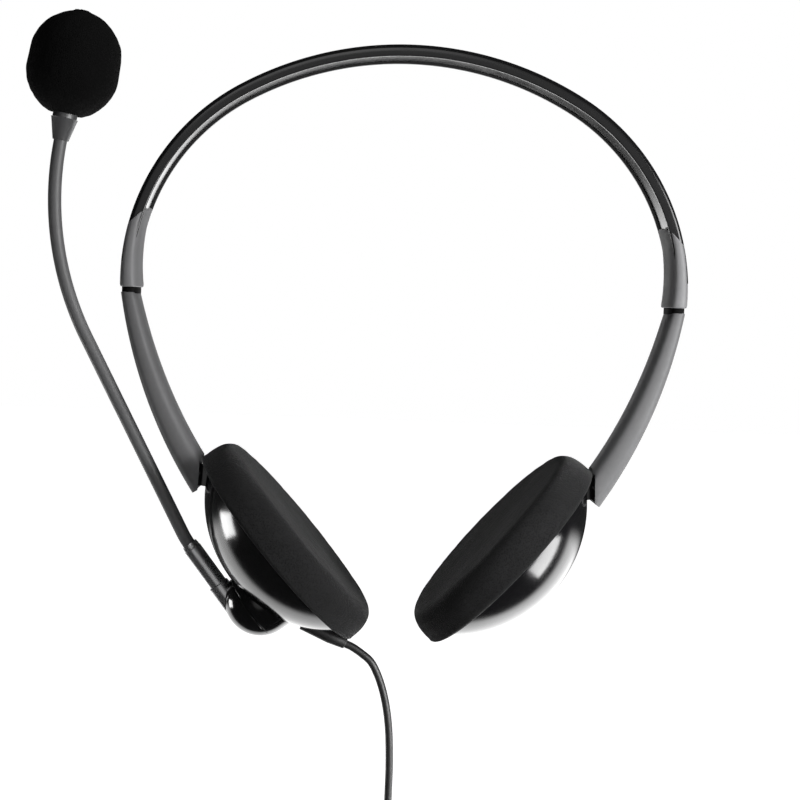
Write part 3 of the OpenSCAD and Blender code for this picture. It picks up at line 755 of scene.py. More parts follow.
@dataclass
class Cord:
    """The thin cord: down from the cup, wound into a tied coil, and out of it to the plug."""

    shop: Workshop
    layout: Layout
    diameter: float = 0.0022
    length: float = 1.75
    route: tuple[Point, ...] = (
        (-0.0124, -0.0296), (-0.0104, -0.0305), (-0.0078, -0.0322), (-0.0052, -0.0344), (-0.0032, -0.038),
        (-0.0016, -0.0424), (-0.0004, -0.0474), (0.0004, -0.0528), (0.0008, -0.0584), (0.001, -0.064),
        (0.001, -0.069), (0.001, -0.0735),
    )
    relief_root: Point = (-0.0244, -0.0241)
    coil_middle: Point = (0.001, -0.0977)
    coil_radius: float = 0.0132
    layers: int = 5
    columns: int = 4
    entry_radius: float = 0.006
    crossing: float = 0.15
    steps_per_turn: int = 36
    tail_end: float = -0.124
    tie_wall: float = 0.0009
    tie_corner: float = 0.0022

    def _smooth_lead(self, spans: int = 5) -> list[Vector]:
        """Runs a smooth curve through the route's points.

        Args:
            spans: How many short steps go between two points.

        Returns:
            Points of the curve.
        """
        route = [midplane(point) for point in self.route]
        route = [2 * route[0] - route[1]] + route + [2 * route[-1] - route[-2]]
        curve = []
        for a, b, c, d in zip(route, route[1:], route[2:], route[3:]):
            for i in range(spans):
                t = i / spans
                curve.append(
                    0.5 * (2 * b + (c - a) * t + (2 * a - 5 * b + 4 * c - d) * t**2 + (3 * b - a - 3 * c + d) * t**3)
                )
        return curve + [route[-2]]

    def _slots(self) -> list[Point]:
        """Radius and Y of each turn of the coil, wound column by column, out and in by turns."""
        slots = []
        for column in range(self.columns):
            order = range(self.layers) if column % 2 == 0 else reversed(range(self.layers))
            for layer in order:
                radius = self.coil_radius + ((self.layers - 1) / 2 - layer) * self.diameter
                slots.append((radius, (column - (self.columns - 1) / 2) * self.diameter))
        return slots

    def _coil(self) -> list[Vector]:
        """Points of the entry bend, the turns and the exit bend."""
        slots = self._slots()
        outer = slots[0][0]
        rise = math.sqrt((self.entry_radius + outer) ** 2 - self.entry_radius**2)
        enter = math.atan2(self.entry_radius, rise)
        bend = math.pi / 2 - enter
        steps = 8
        entry = []
        for i in range(steps + 1):
            a = bend * i / steps
            x, z = self.entry_radius * (1 - math.cos(a)), rise - self.entry_radius * math.sin(a)
            entry.append(Vector((x, slots[0][1] * ease(i / steps), z)))
        leave = [Vector((p.x, slots[-1][1] * ease(1 - i / steps), -p.z)) for i, p in enumerate(reversed(entry))]
        total = math.tau * (len(slots) - 1) + math.pi - 2 * enter
        count = round(total / math.tau * self.steps_per_turn)
        turns = []
        for i in range(1, count):
            gone = total * i / count
            turn = int(gone / math.tau)
            share = ease((gone / math.tau - turn - 1 + self.crossing) / self.crossing)
            here, there = slots[turn], slots[min(turn + 1, len(slots) - 1)]
            radius = blend_value(here[0], there[0], share)
            a = enter + gone
            turns.append(Vector((radius * math.sin(a), blend_value(here[1], there[1], share), radius * math.cos(a))))
        return [midplane(self.coil_middle) + p for p in entry + turns + leave]

    def build_run(self) -> Piece:
        """Lays the whole cord as one round curve."""
        root, leave = midplane(self.relief_root), midplane(self.route[0])
        inside = [root.lerp(leave, share) for share in (0.4, 0.7)]
        end = Vector((self.coil_middle[0], 0.0, self.tail_end - 0.001))
        points = inside + self._smooth_lead() + self._coil() + [end]
        curve = bpy.data.curves.new("cord", "CURVE")
        curve.dimensions = "3D"
        curve.bevel_depth = self.diameter / 2
        curve.bevel_resolution = 3
        curve.use_fill_caps = True
        spline = curve.splines.new("POLY")
        spline.points.add(len(points) - 1)
        for vertex, place in zip(spline.points, points):
            vertex.co = (*place, 1.0)
        spline.use_smooth = True
        piece = bpy.data.objects.new("cord", curve)
        bpy.context.scene.collection.objects.link(piece)
        return piece

    def build_relief(self) -> Piece:
        """Turns the clip that holds the cord where it leaves the cup."""
        root = midplane(self.relief_root)
        run = midplane(self.route[0]) - root
        length = run.length
        profile = [(0.0, 0.0), (0.002, 0.0), (0.002, length - 0.0047), (0.00195, length - 0.0044)]
        profile += [(0.0015, length - 0.0002), (0.0013, length), (0.00115, length)]
        piece = Bench.lathe("cord_clip", profile, 48)
        return Bench.place(piece, along(root, run))

    def build_tie(self) -> Piece:
        """Folds the strap that holds the coil together."""
        low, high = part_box("coil_tie")
        middle, corner = (low + high) / 2, self.tie_corner
        half, reach = (high.y - low.y) / 2 - corner, (high.x - low.x) / 2 - corner
        corners = [(half, reach, 0.0), (-half, reach, 90.0), (-half, -reach, 180.0), (half, -reach, 270.0)]
        ring = [p for y, x, a in corners for p in arc((y, x), corner, a, a + 90.0, 5)]
        path = [Vector((middle.x + x, middle.y + y, low.z)) for y, x in ring]
        piece = Bench.outline("coil_strap", path, closed=True)
        Bench.push((0.0, 0.0, high.z - low.z))
        Bench.close(piece, fill=False)
        Bench.apply(piece, "SOLIDIFY", thickness=self.tie_wall, offset=-1.0)
        return Bench.soften(piece)

    def build_plug(self) -> Piece:
        """Turns the moulded grip of the plug, with its ribbed sleeve."""
        ribs = [p for i in range(4) for p in self._rib(0.0016 + 0.0017 * i, 0.0017 + 0.00022 * i)]
        profile = [(0.0, 0.0), (0.00135, 0.0), (0.0015, 0.00015)] + ribs
        profile += [(0.0026, 0.0086), (0.0036, 0.0094)]
        profile += [(0.0043, 0.0101), (0.0046, 0.0112), (0.0046, 0.0246), (0.0044, 0.0258), (0.0041, 0.0269)]
        profile += [(0.0037, 0.0278), (0.0033, 0.028), (0.0, 0.028)]
        piece = Bench.lathe("plug_grip", profile, 64)
        frame = Matrix.Translation((self.coil_middle[0], 0.0, self.tail_end)) @ Matrix.Rotation(math.pi, 4, "X")
        return Bench.place(piece, frame)

    @staticmethod
    def _rib(height: float, radius: float) -> list[Point]:
        """One groove and the rib after it."""
        low = radius - 0.0003
        return [(radius, height), (low, height + 0.0001), (low, height + 0.0005), (radius, height + 0.0006)]

    def build(self) -> None:
        """Makes the cord and all that is on it."""
        body = Side.RIGHT.node("cup")
        run = self.build_run()
        self.shop.fit(run, body, "cord_jacket", "cord_lead", "cord_coil", "cord_tail")
        relief = self.build_relief()
        self.shop.fit(relief, body, "cord_rubber", "strain_relief")
        tie = self.build_tie()
        self.shop.fit(tie, body, "tie", "coil_tie")
        plug = self.build_plug()
        self.shop.fit(plug, body, "plug_grip", "plug_handle")


# ---- Headband ----


@dataclass
class Headband:
    """The two-part band: a gloss channel with a flat liner let into its inside."""

    shop: Workshop
    crown_z: float = 0.0416746
    side_radius: float = 0.0608
    side_x: float = 0.0157
    side_z: float = 0.0688678
    crown_half: float = 30.0
    channel_end: float = 86.0
    liner_end: float = 76.5
    width: float = 0.018
    thickness: float = 0.0032
    wall: float = 0.001
    flange: float = 0.0013
    bow_radius: float = 0.0075
    recess: float = 0.0006
    liner_thickness: float = 0.001
    liner_edge: float = 0.00025
    corner: float = 0.0013
    lip: float = 0.00035

    @property
    def widest(self) -> float:
        """Distance of the band's outer face from the middle of the head, at its widest."""
        return self.side_x + self.side_radius

    def _at(self, angle: float, depth: float, y: float) -> Vector:
        """A place on the microphone side's arc.

        Args:
            angle: Degrees from the top of the arc.
            depth: Distance out from the band's outer face, less than 0 inside it.
            y: Distance from the band's middle.

        Returns:
            The place.
        """
        reach = self.side_radius + depth
        a = math.radians(angle)
        return Vector((-self.side_x - reach * math.sin(a), y, self.side_z + reach * math.cos(a)))

    def _sweep(self, name: str, section: Sequence[Point], end: float, smooth: float = 35.0) -> Piece:
        """Sweeps a section up one side, over the crown and down the other side.

        Args:
            name: Name of the piece.
            section: Depth and Y of each corner of the closed section.
            end: Degrees from the top of each side's arc to the band's end.
            smooth: Edges flatter than this many degrees are shaded smooth.

        Returns:
            The swept piece.
        """
        piece = Bench.outline(name, [self._at(end, depth, y) for depth, y in section], closed=True)
        side_turn = math.radians(end - self.crown_half)
        Bench.turn(side_turn, 44, (-self.side_x, 0.0, self.side_z), ALONG_Y)
        Bench.turn(math.radians(2 * self.crown_half), 56, (0.0, 0.0, self.crown_z), ALONG_Y)
        Bench.turn(side_turn, 44, (self.side_x, 0.0, self.side_z), ALONG_Y)
        return Bench.close(piece, smooth)

    def build_channel(self) -> Piece:
        """Sweeps the gloss channel, with round outer corners and soft flange edges."""
        half, deep, corner, edge = self.width / 2, -self.thickness, self.corner, self.lip
        inner = half - self.flange
        front = arc((-corner, half - corner), corner, 0.0, 78.0, 8)
        front += arc((deep / 2 - corner / 4, half - self.bow_radius), self.bow_radius, 82.0, 98.0, 8)
        front += arc((deep + edge, half - edge - 0.0001), edge, 105.0, 180.0, 4)
        front += arc((deep + EASED, inner + EASED), EASED, 180.0, 270.0, 2)
        front += [(-self.wall, inner)]
        back = [(depth, -y) for depth, y in reversed(front)]
        return self._sweep("band_channel", front + back, self.channel_end, 40.0)

    def build_liner(self) -> Piece:
        """Sweeps the flat liner, with eased edges."""
        half = self.width / 2 - self.flange - 0.00005
        face = self.recess - self.thickness
        front = [(face + self.liner_thickness, half), (face + self.liner_edge, half), (face, half - self.liner_edge)]
        back = [(depth, -y) for depth, y in reversed(front)]
        return self._sweep("band_liner", front + back, self.liner_end, 30.0)

    def build(self) -> None:
        """Makes both parts of the band."""
        self.shop.fit(self.build_channel(), "headband", "gloss_band", "headband")
        self.shop.fit(self.build_liner(), "headband", "liner", "headband_liner")


def soft_section(points: int = 40, power: float = 2.0 / 3.2) -> list[Point]:
    """A soft-cornered section.

    Args:
        points: How many corners it has.
        power: How square it is, from 1 for round down to 0 for square.

    Returns:
        Its corners, as pairs from -1 to 1.
    """
    turns = [math.tau * i / points for i in range(points)]
    pairs = [(math.cos(a), math.sin(a)) for a in turns]
    return [tuple(math.copysign(abs(value) ** power, value) for value in pair) for pair in pairs]


@dataclass
class Sleeve:
    """The sleeve on each end of the band, which hides the slider's strip."""

    shop: Workshop
    band: Headband
    layout: Layout
    height: float = 0.017
    low_thickness: float = 0.0056
    proud: float = 0.0004
    guide_thickness: float = 0.0046
    guide_width: float = 0.0134
    guide_inset: float = 0.0004
    guide_drop: float = 0.0017
    guide_overlap: float = 0.0008
    slot_depth: float = 0.0024
    slot_size: Place = (0.0015, 0.0106, 0.02)
    side_lap: float = 0.0005
    top_spare: float = 0.0046
    mouth_insets: tuple[float, float] = (0.00035, 0.0001)
    slant: float = -42.0
    slant_inset: float = 0.0012
    slant_drop: float = 0.0006

    def _outer_x(self, z: float) -> float:
        """X of the outer face at a height."""
        radius = self.band.side_radius + self.proud
        over = max(0.0, z - self.band.side_z)
        return -self.band.side_x - math.sqrt(radius**2 - over**2)

    def build_side(self) -> Piece:
        """Draws the sleeve up from its lower edge and cuts its slanted top."""
        low, tall = self.layout.slide_low, self.height + self.top_spare
        thin = self.band.thickness + 2.5 * self.proud
        half = self.band.width / 2 + self.side_lap
        rings = []
        shares = [0.0, 0.012, 0.04] + [i / 16 for i in range(1, 17)]
        insets = [*self.mouth_insets] + [0.0] * (len(shares) - len(self.mouth_insets))
        for share, inset in zip(shares, insets):
            z = low + tall * share
            thick = blend_value(self.low_thickness, thin, min(1.0, share / 0.75) ** 0.8)
            rings.append((z, self._outer_x(z) + inset, thick - 2 * inset, half - inset))
        z, outer, thick, wide = rings[0]
        path = [Vector((outer + thick / 2 - p[0] * thick / 2, p[1] * wide, z)) for p in soft_section()]
        piece = Bench.outline(Side.RIGHT.node("band_sleeve"), path, closed=True)
        for (z0, x0, t0, w0), (z1, x1, t1, w1) in zip(rings, rings[1:]):
            middle = x0 + t0 / 2
            Bench.push((x1 + t1 / 2 - middle, 0.0, z1 - z0))
            bpy.ops.transform.resize(value=(t1 / t0, w1 / w0, 1.0), center_override=(x1 + t1 / 2, 0.0, z1))
        Bench.close(piece)
        slant = math.radians(self.slant)
        place = (self.slant_inset - self.band.widest, 0.0, low + self.height - self.slant_drop)
        Bench.trim(piece, place, (math.sin(slant), 0.0, math.cos(slant)))
        return Bench.close(piece, 30.0)

    def build_guide(self) -> Piece:
        """Draws the dark collar that closes the sleeve's mouth down to the arm's top."""
        top = self.layout.slide_low + self.guide_overlap
        thick, half = self.guide_thickness, self.guide_width / 2
        middle = self._outer_x(self.layout.slide_low) + self.guide_inset + thick / 2
        ring = [Vector((middle + p[0] * thick / 2, p[1] * half, top)) for p in soft_section()]
        piece = Bench.outline(Side.RIGHT.node("band_guide"), ring, closed=True)
        Bench.push((0.0, 0.0, -self.guide_drop - self.guide_overlap))
        Bench.close(piece)
        Bench.clear()
        place = (self.slot_depth - self.band.widest, 0.0, top)
        bpy.ops.mesh.primitive_cube_add(size=1.0, location=place, scale=self.slot_size)
        Bench.combine(piece, bpy.context.object, "DIFFERENCE")
        return Bench.close(piece, 40.0, fill=False)

    def build(self) -> None:
        """Makes both sleeves and the collars under them."""
        self.shop.fit_sides(self.build_side(), "satin_sleeve", "sleeve")
        self.shop.fit_sides(self.build_guide(), "dark_guide", "guide")


# ---- Arms ----


@dataclass
class Arm:
    """The curved arm that carries each cup on its hinge."""

    shop: Workshop
    layout: Layout
    radius: float = 0.135
    lean: float = 8.9
    sweep: float = 24.7
    centre: Place = (0.0566746, 0.0, 0.0857536)
    top_thickness: float = 0.0045
    low_thickness: float = 0.0081
    plate_radius: float = 0.0322
    plate_depth: float = 0.0036
    plate_step: float = 0.0006
    dome_gap: float = 0.0005
    eye_block: Place = (0.0048, 0.0064, 0.014)
    eye_step: float = 0.0055
    top_gap: float = 0.0014
    width: float = 0.014
    steps: int = 30

    def _thickness(self, share: float) -> float:
        """Thickness at a share of the way down the arm."""
        return blend_value(self.top_thickness, self.low_thickness, share**0.8)

    def _blank(self, name: str) -> Piece:
        """Draws the arm's solid blank along its arc."""
        start = math.radians(self.lean)
        way = Vector((-math.cos(start), 0.0, -math.sin(start)))
        centre = Vector(self.centre)
        thick, half = self.top_thickness, self.width / 2
        middle = centre + way * (self.radius - thick / 2)
        ring = [middle + way * (p[0] * thick / 2) + Vector((0.0, p[1] * half, 0.0)) for p in soft_section()]
        piece = Bench.outline(name, ring, closed=True)
        step = math.radians(self.sweep) / self.steps
        for i in range(1, self.steps + 1):
            Bench.push((0.0, 0.0, 0.0))
            Bench.swing(-step, centre)
            angle = start + step * i
            way = Vector((-math.cos(angle), 0.0, -math.sin(angle)))
            axes = (way, Vector(ALONG_Y), way.cross(Vector(ALONG_Y)))
            grow = self._thickness(i / self.steps) / self._thickness((i - 1) / self.steps)
            bpy.ops.transform.resize(
                value=(grow, 1.0, 1.0),
                orient_type="GLOBAL",
                orient_matrix=axes,
                orient_matrix_type="GLOBAL",
                center_override=centre + way * self.radius,
            )
        return Bench.close(piece)

    def _dome_room(self) -> Piece:
        """A tool as large as the dome and its rim over the cup's whole swing."""
        room = []
        for angle in self.layout.swing:
            cup = self.layout.swung(angle)
            Bench.clear()
            radius = self.layout.dome_radius + self.dome_gap
            bpy.ops.mesh.primitive_uv_sphere_add(segments=96, ring_count=64, radius=radius)
            room.append(Bench.place(bpy.context.object, cup @ level(self.layout.dome_middle)))
            Bench.clear()
            bpy.ops.mesh.primitive_cylinder_add(vertices=96, radius=self.plate_radius, depth=self.plate_depth)
            room.append(Bench.place(bpy.context.object, cup @ level(self.layout.rim + self.plate_step)))
        return Bench.hull(room)

    def _eye_room(self) -> Piece:
        """A tool as large as the cup's hinge eye over its whole swing."""
        blocks = []
        for angle in self.layout.swing:
            dome = self.layout.swung(angle) @ Vector((0.0, 0.0, self.layout.dome_middle))
            way = (dome - self.layout.hinge).normalized()
            Bench.clear()
            bpy.ops.mesh.primitive_cube_add(size=1.0, scale=self.eye_block)
            blocks.append(Bench.place(bpy.context.object, along(self.layout.hinge + way * self.eye_step, way)))
        return Bench.hull(blocks)

    def build_side(self) -> Piece:
        """Cuts the blank's top level and hollows it for the cup."""
        piece = self._blank(Side.RIGHT.node("cup_arm"))
        Bench.combine(piece, self._dome_room(), "DIFFERENCE")
        Bench.combine(piece, self._eye_room(), "DIFFERENCE")
        Bench.trim(piece, (0.0, 0.0, self.layout.slide_low - self.top_gap), (0.0, 0.0, 1.0))
        return Bench.close(piece, 30.0, fill=False)

    def build(self) -> None:
        """Makes both arms."""
        self.shop.fit_sides(self.build_side(), "satin_arm", "arm", "arm")


# ---- Ear cups ----


@dataclass
class Cup:
    """A domed gloss shell with its hinge eye, and the foam pad on it."""

    shop: Workshop
    layout: Layout
    shell_wall: float = 0.0016
    split: float = 0.0036
    pedestal_foot: float = 0.0125
    eye_radius: float = 0.0021
    eye_width: float = 0.006
    eye_reach: float = 0.0041
    edge: float = 0.00025
    pad_radius: float = 0.0322
    pad_front: float = 0.0042
    pad_round: float = 0.0055
    pad_lip: float = 0.0012
    pad_dish: float = 0.0003
    pad_step: float = 0.0006
    pad_sink: float = 0.0002
    pad_lumps: tuple[Point, ...] = ((90.0, 0.00022), (420.0, 0.00008))
    groove: tuple[Point, ...] = ((0.02985, -0.00495), (0.03095, -0.00495), (0.03095, -0.0029), (0.0, -0.0029))

    def _dome(self, name: str) -> Piece:
        """Turns the domed shell with a soft rim."""
        middle, outer = self.layout.dome_middle, self.layout.dome_radius
        inner = outer - self.shell_wall
        rim = self.layout.rim
        low_out = math.degrees(math.asin((rim - self.edge - middle) / outer))
        low_in = math.degrees(math.asin((rim - middle) / inner))
        profile = arc((0.0, middle), outer, -90.0, low_out, 40)
        profile += [(self.layout.rim_radius - 0.0001, rim - 0.00005), (self.layout.rim_radius - 0.0003, rim)]
        profile += arc((0.0, middle), inner, low_in, -90.0, 30)
        profile[0] = (0.0, middle - outer)
        profile[-1] = (0.0, middle - inner)
        return Bench.lathe(name, profile, 128)

    def _eye(self) -> Piece:
        """The hinge eye, a round bar with a foot that reaches into the dome."""
        pivot = self.layout.cup.inverted() @ self.layout.hinge
        way = (Vector((0.0, 0.0, self.layout.dome_middle)) - pivot).normalized()
        Bench.clear()
        bpy.ops.mesh.primitive_cylinder_add(
            vertices=48, radius=self.eye_radius, depth=self.eye_width, rotation=(math.pi / 2, 0.0, 0.0)
        )
        piece = bpy.context.object
        bpy.ops.object.transform_apply(rotation=True)
        bpy.ops.object.mode_set(mode="EDIT")
        bpy.ops.mesh.select_all(action="DESELECT")
        bpy.ops.object.mode_set(mode="OBJECT")
        for vertex in piece.data.vertices:
            vertex.select = vertex.co.z > -TINY
        bpy.ops.object.mode_set(mode="EDIT")
        bpy.ops.transform.translate(value=(0.0, 0.0, self.eye_reach))
        bpy.ops.object.mode_set(mode="OBJECT")
        return Bench.place(piece, along(pivot, way))

    def _pedestal(self) -> Piece:
        """The fixed part of the boom's hub, on the shell."""
        middle, radius = self.layout.hub_middle, self.layout.hub_radius
        start = math.degrees(math.asin((self.split - middle) / radius))
        profile = [(0.0, self.split), (radius * math.cos(math.radians(start)) - 0.00015, self.split)]
        profile += arc((0.0, middle), radius, start + 1.2, 0.0, 8)
        profile += [(radius, self.pedestal_foot), (0.0, self.pedestal_foot)]
        piece = Bench.lathe("pedestal", profile, 96)
        return Bench.place(piece, self.layout.cup.inverted() @ self.layout.hub)

    def build_shell(self, side: Side) -> Piece:
        """Joins the shell's parts and sets it at its cup."""
        piece = self._dome(side.node("cup_shell"))
        Bench.combine(piece, self._eye(), "UNION")
        if side is Side.RIGHT:
            Bench.combine(piece, self._pedestal(), "UNION")
        Bench.close(piece, 30.0, fill=False)
        return Bench.place(piece, self.layout.cup)

    def build_pad(self) -> Piece:
        """Turns the foam pad, dished a little and uneven like cut foam."""
        front, radius = self.pad_front, self.pad_radius
        back = self.layout.rim - 0.001
        low = back + self.pad_lip
        wide, tall = self.pad_round, front - low - self.pad_step
        flat = radius - wide
        profile = [(flat * i / 20, front - self.pad_dish * math.cos(math.pi * i / 40)) for i in range(20)]
        for i in range(25):
            a = math.pi / 2 * (1 - i / 24)
            out, up = math.cos(a) ** 0.8, math.sin(a) ** 0.8
            profile.append((flat + wide * out, low + self.pad_step + tall * up))
        profile += arc((radius - self.pad_lip, low), self.pad_lip, 0.0, -90.0, 6)[1:]
        profile += [(self.groove[0][0], back), *self.groove]
        piece = Bench.lathe("pad", profile, 192, 60.0)
        ways = [vertex.normal.copy() for vertex in piece.data.vertices]
        for vertex, way in zip(piece.data.vertices, ways):
            place = vertex.co
            reach = math.hypot(place.x, place.y)
            if place.z < -0.00485 or reach < 0.0311 and place.z < -0.0028:
                continue
            vertex.co = place + way * (lumps(place, self.pad_lumps) - self.pad_sink)
        return Bench.place(piece, self.layout.cup)

    def build(self) -> None:
        """Makes both cups."""
        pads = [self.build_pad()]
        pads.append(Bench.across(pads[0], Side.LEFT.node("ear_pad")))
        pads[0].name = pads[0].data.name = Side.RIGHT.node("ear_pad")
        shells = [self.build_shell(Side.RIGHT)]
        plain = self.build_shell(Side.LEFT)
        shells.append(Bench.across(plain, Side.LEFT.node("cup_shell_plain")))
        bpy.data.objects.remove(plain)
        shells[1].name = shells[1].data.name = Side.LEFT.node("cup_shell")
        for side, pad, shell in zip((Side.RIGHT, Side.LEFT), pads, shells):
            self.shop.fit(shell, side.node("cup"), "gloss_shell", side.node("shell"))
            self.shop.fit(pad, side.node("cup"), "ear_foam", side.node("pad"))


# ---- Boom and microphone ----


@dataclass
class Boom:
    """The boom on its ball-faced hub, with the microphone's collar and windscreen."""

    shop: Workshop
    layout: Layout
    hub_face: float = 0.0035
    stud: float = 0.00295
    stud_end: float = 0.0115
    wire_hole: float = 0.00125
    diameter: float = 0.0036
    socket: float = 0.005
    socket_start: float = 0.009
    socket_length: float = 0.014
    start: float = 0.01
    kick_radius: float = 0.02
    kick: float = 9.9
    straight: float = 0.0594
    bend_radius: float = 0.084
    bend: float = 36.7
    tip: float = 0.002
    collar: float = 0.005
    holder: float = 0.0036
    screen_radius: float = 0.01245
    screen_height: float = 0.0291
    screen_start: float = 0.0052
    screen_sink: float = 0.0002
    screen_lumps: tuple[Point, ...] = ((160.0, 0.00025), (700.0, 0.00012))

    @property
    def first(self) -> float:
        """Length of the rod before the kick."""
        return self.socket_start + self.socket_length + 0.001 - self.start

    @property
    def end(self) -> Matrix:
        """The frame at the boom's end, whose z runs out of the boom."""
        step = outward(self.start + self.first)
        step @= self._after(self.kick_radius, self.kick) @ outward(self.straight)
        step @= self._after(self.bend_radius, self.bend) @ outward(self.tip)
        return self.layout.boom @ step @ tilt(90.0)

    @staticmethod
    def _after(radius: float, angle: float) -> Matrix:
        """The move from one end of a bend towards +z to its other end."""
        return level(radius) @ tilt(-angle) @ level(-radius)

    def build_rod(self) -> Piece:
        """Draws the boom's rod through its two bends."""
        Bench.clear()
        bpy.ops.mesh.primitive_circle_add(
            vertices=32, radius=self.diameter / 2, location=(self.start, 0.0, 0.0), rotation=(0.0, math.pi / 2, 0.0)
        )
        piece = bpy.context.object
        piece.name = piece.data.name = "boom_rod"
        bpy.ops.object.mode_set(mode="EDIT")
        bpy.ops.mesh.select_all(action="SELECT")
        Bench.push((self.first, 0.0, 0.0))
        place = outward(self.start + self.first)
        Bench.turn(-math.radians(self.kick), 8, place @ Vector((0.0, 0.0, self.kick_radius)), ALONG_Y)
        place @= self._after(self.kick_radius, self.kick)
        Bench.push(place.to_3x3() @ Vector((self.straight, 0.0, 0.0)))
        place @= outward(self.straight)
        Bench.turn(-math.radians(self.bend), 36, place @ Vector((0.0, 0.0, self.bend_radius)), ALONG_Y)
        place @= self._after(self.bend_radius, self.bend)
        Bench.push(place.to_3x3() @ Vector((self.tip, 0.0, 0.0)))
        Bench.close(piece)
        return Bench.place(piece, self.layout.boom)

    def build_hub(self) -> Piece:
        """Turns the ball face with its stud."""
        middle, radius = self.layout.hub_middle, self.layout.hub_radius
        reach = math.degrees(math.asin((self.hub_face - 0.0002 - middle) / radius))
        profile = arc((0.0, middle), radius, -90.0, reach, 32)
        profile[0] = (0.0, middle - radius)
        profile += [(profile[-1][0] - 0.00015, self.hub_face), (self.stud, self.hub_face), (self.stud, self.stud_end)]
        profile += [(self.wire_hole, self.stud_end), (self.wire_hole, 0.0045), (0.0, 0.0045)]
        piece = Bench.lathe("boom_ball", profile, 96)
        return Bench.place(piece, self.layout.hub)

    def build_socket(self) -> Piece:
        """Turns the neck that grows out of the ball and the socket that grips the rod."""
        bore, radius = self.diameter / 2 + 0.00001, self.socket / 2
        length = self.socket_length
        neck, root = radius + 0.0004, -0.0065
        profile = [(bore, root), (neck, root), (neck, 0.0011), (neck - 0.0003, 0.0014), (radius, 0.0014)]
        profile += [(radius, length - 0.0007), (radius - 0.00015, length - 0.0005)]
        profile += [(radius - 0.00015, length - 0.0002), (radius - 0.0001, length), (radius - 0.0003, length + 0.001)]
        profile += [(bore, length + 0.001), (bore, root)]
        piece = Bench.lathe("boom_sleeve", profile, 64)
        return Bench.place(piece, self.layout.boom @ outward(self.socket_start) @ tilt(90.0))

    def build_collar(self) -> Piece:
        """Turns the tapered collar and the holder inside the windscreen."""
        bore, rod = 0.0028, self.diameter / 2
        wide = self.holder + 0.0001
        profile = [(rod, -0.001), (rod + 0.0003, -0.001), (rod + 0.0004, -0.0008)]
        profile += [(wide - 0.00015, self.collar - 0.0002), (wide, self.collar)]
        profile += [(self.holder - 0.0003, self.collar), (self.holder - 0.0003, 0.017), (0.003, 0.017)]
        profile += [(0.003, 0.014), (bore, 0.012), (0.0008, 0.012), (0.0008, 0.0), (rod, 0.0), (rod, -0.001)]
        piece = Bench.lathe("mic_collar", profile, 64)
        return Bench.place(piece, self.end)

    def build_screen(self) -> Piece:
        """Turns the foam windscreen and makes its surface a little uneven."""
        radius, height = self.screen_radius, self.screen_height
        straight, hole = height / 2 - radius, self.holder
        lower = arc((0.0, -straight), radius, -90.0, 0.0, 30)
        upper = arc((0.0, straight), radius, 0.0, 90.0, 30)
        lower = [p for p in lower if p[0] > hole + 0.0006]
        profile = [(0.0, 0.0), (hole, 0.0), (hole, lower[0][1] + 0.0006)] + lower + upper[1:]
        profile[-1] = (0.0, height / 2)
        profile = [(r, z + self.screen_start + height / 2) for r, z in profile]
        piece = Bench.lathe("mic_windscreen", profile, 160, 60.0)
        for vertex in piece.data.vertices:
            place = vertex.co
            if math.hypot(place.x, place.y) < hole + 0.0001 and place.z < self.screen_start + height - 0.001:
                continue
            vertex.co = place + vertex.normal * (lumps(place, self.screen_lumps) - self.screen_sink)
        return Bench.place(piece, self.end)

    def build(self) -> None:
        """Makes the boom's pieces."""
        self.shop.fit(self.build_hub(), "boom", "gloss_shell", "boom_hub")
        self.shop.fit(self.build_socket(), "boom", "boom_socket", "boom_socket")
        self.shop.fit(self.build_rod(), "boom", "boom_skin", "boom_tube")
        self.shop.fit(self.build_collar(), "boom", "boom_collar", "capsule_holder")
        screen = self.build_screen()
        self.shop.fit(screen, "boom", "mic_foam", "windscreen")


# ---- Studio ----


@dataclass(frozen=True)
class Lamp:
    """A soft box.

    Attributes:
        name: Its name.
        place: Where it hangs.
        target: The point that it faces.
        size: Its width and height.
        power: Its power in watts.
        gloss: Whether it shows in reflections.
        soft: Whether it lights what is matte.
    """

    name: str
    place: Place
    target: Place
    size: tuple[float, float]
    power: float
    gloss: bool = True
    soft: bool = True

    def hang(self) -> None:
        """Adds the lamp to the scene."""
        Bench.clear()
        bpy.ops.object.light_add(type="AREA", location=self.place)
        lamp = bpy.context.object
        lamp.name = self.name
        lamp.data.shape = "RECTANGLE"
        lamp.data.size, lamp.data.size_y = self.size
        lamp.data.energy = self.power
        lamp.visible_camera = False
        lamp.visible_glossy = self.gloss
        lamp.visible_diffuse = self.soft
        aim = Vector(self.target) - Vector(self.place)
        lamp.rotation_euler = aim.to_track_quat("-Z", "Y").to_euler()


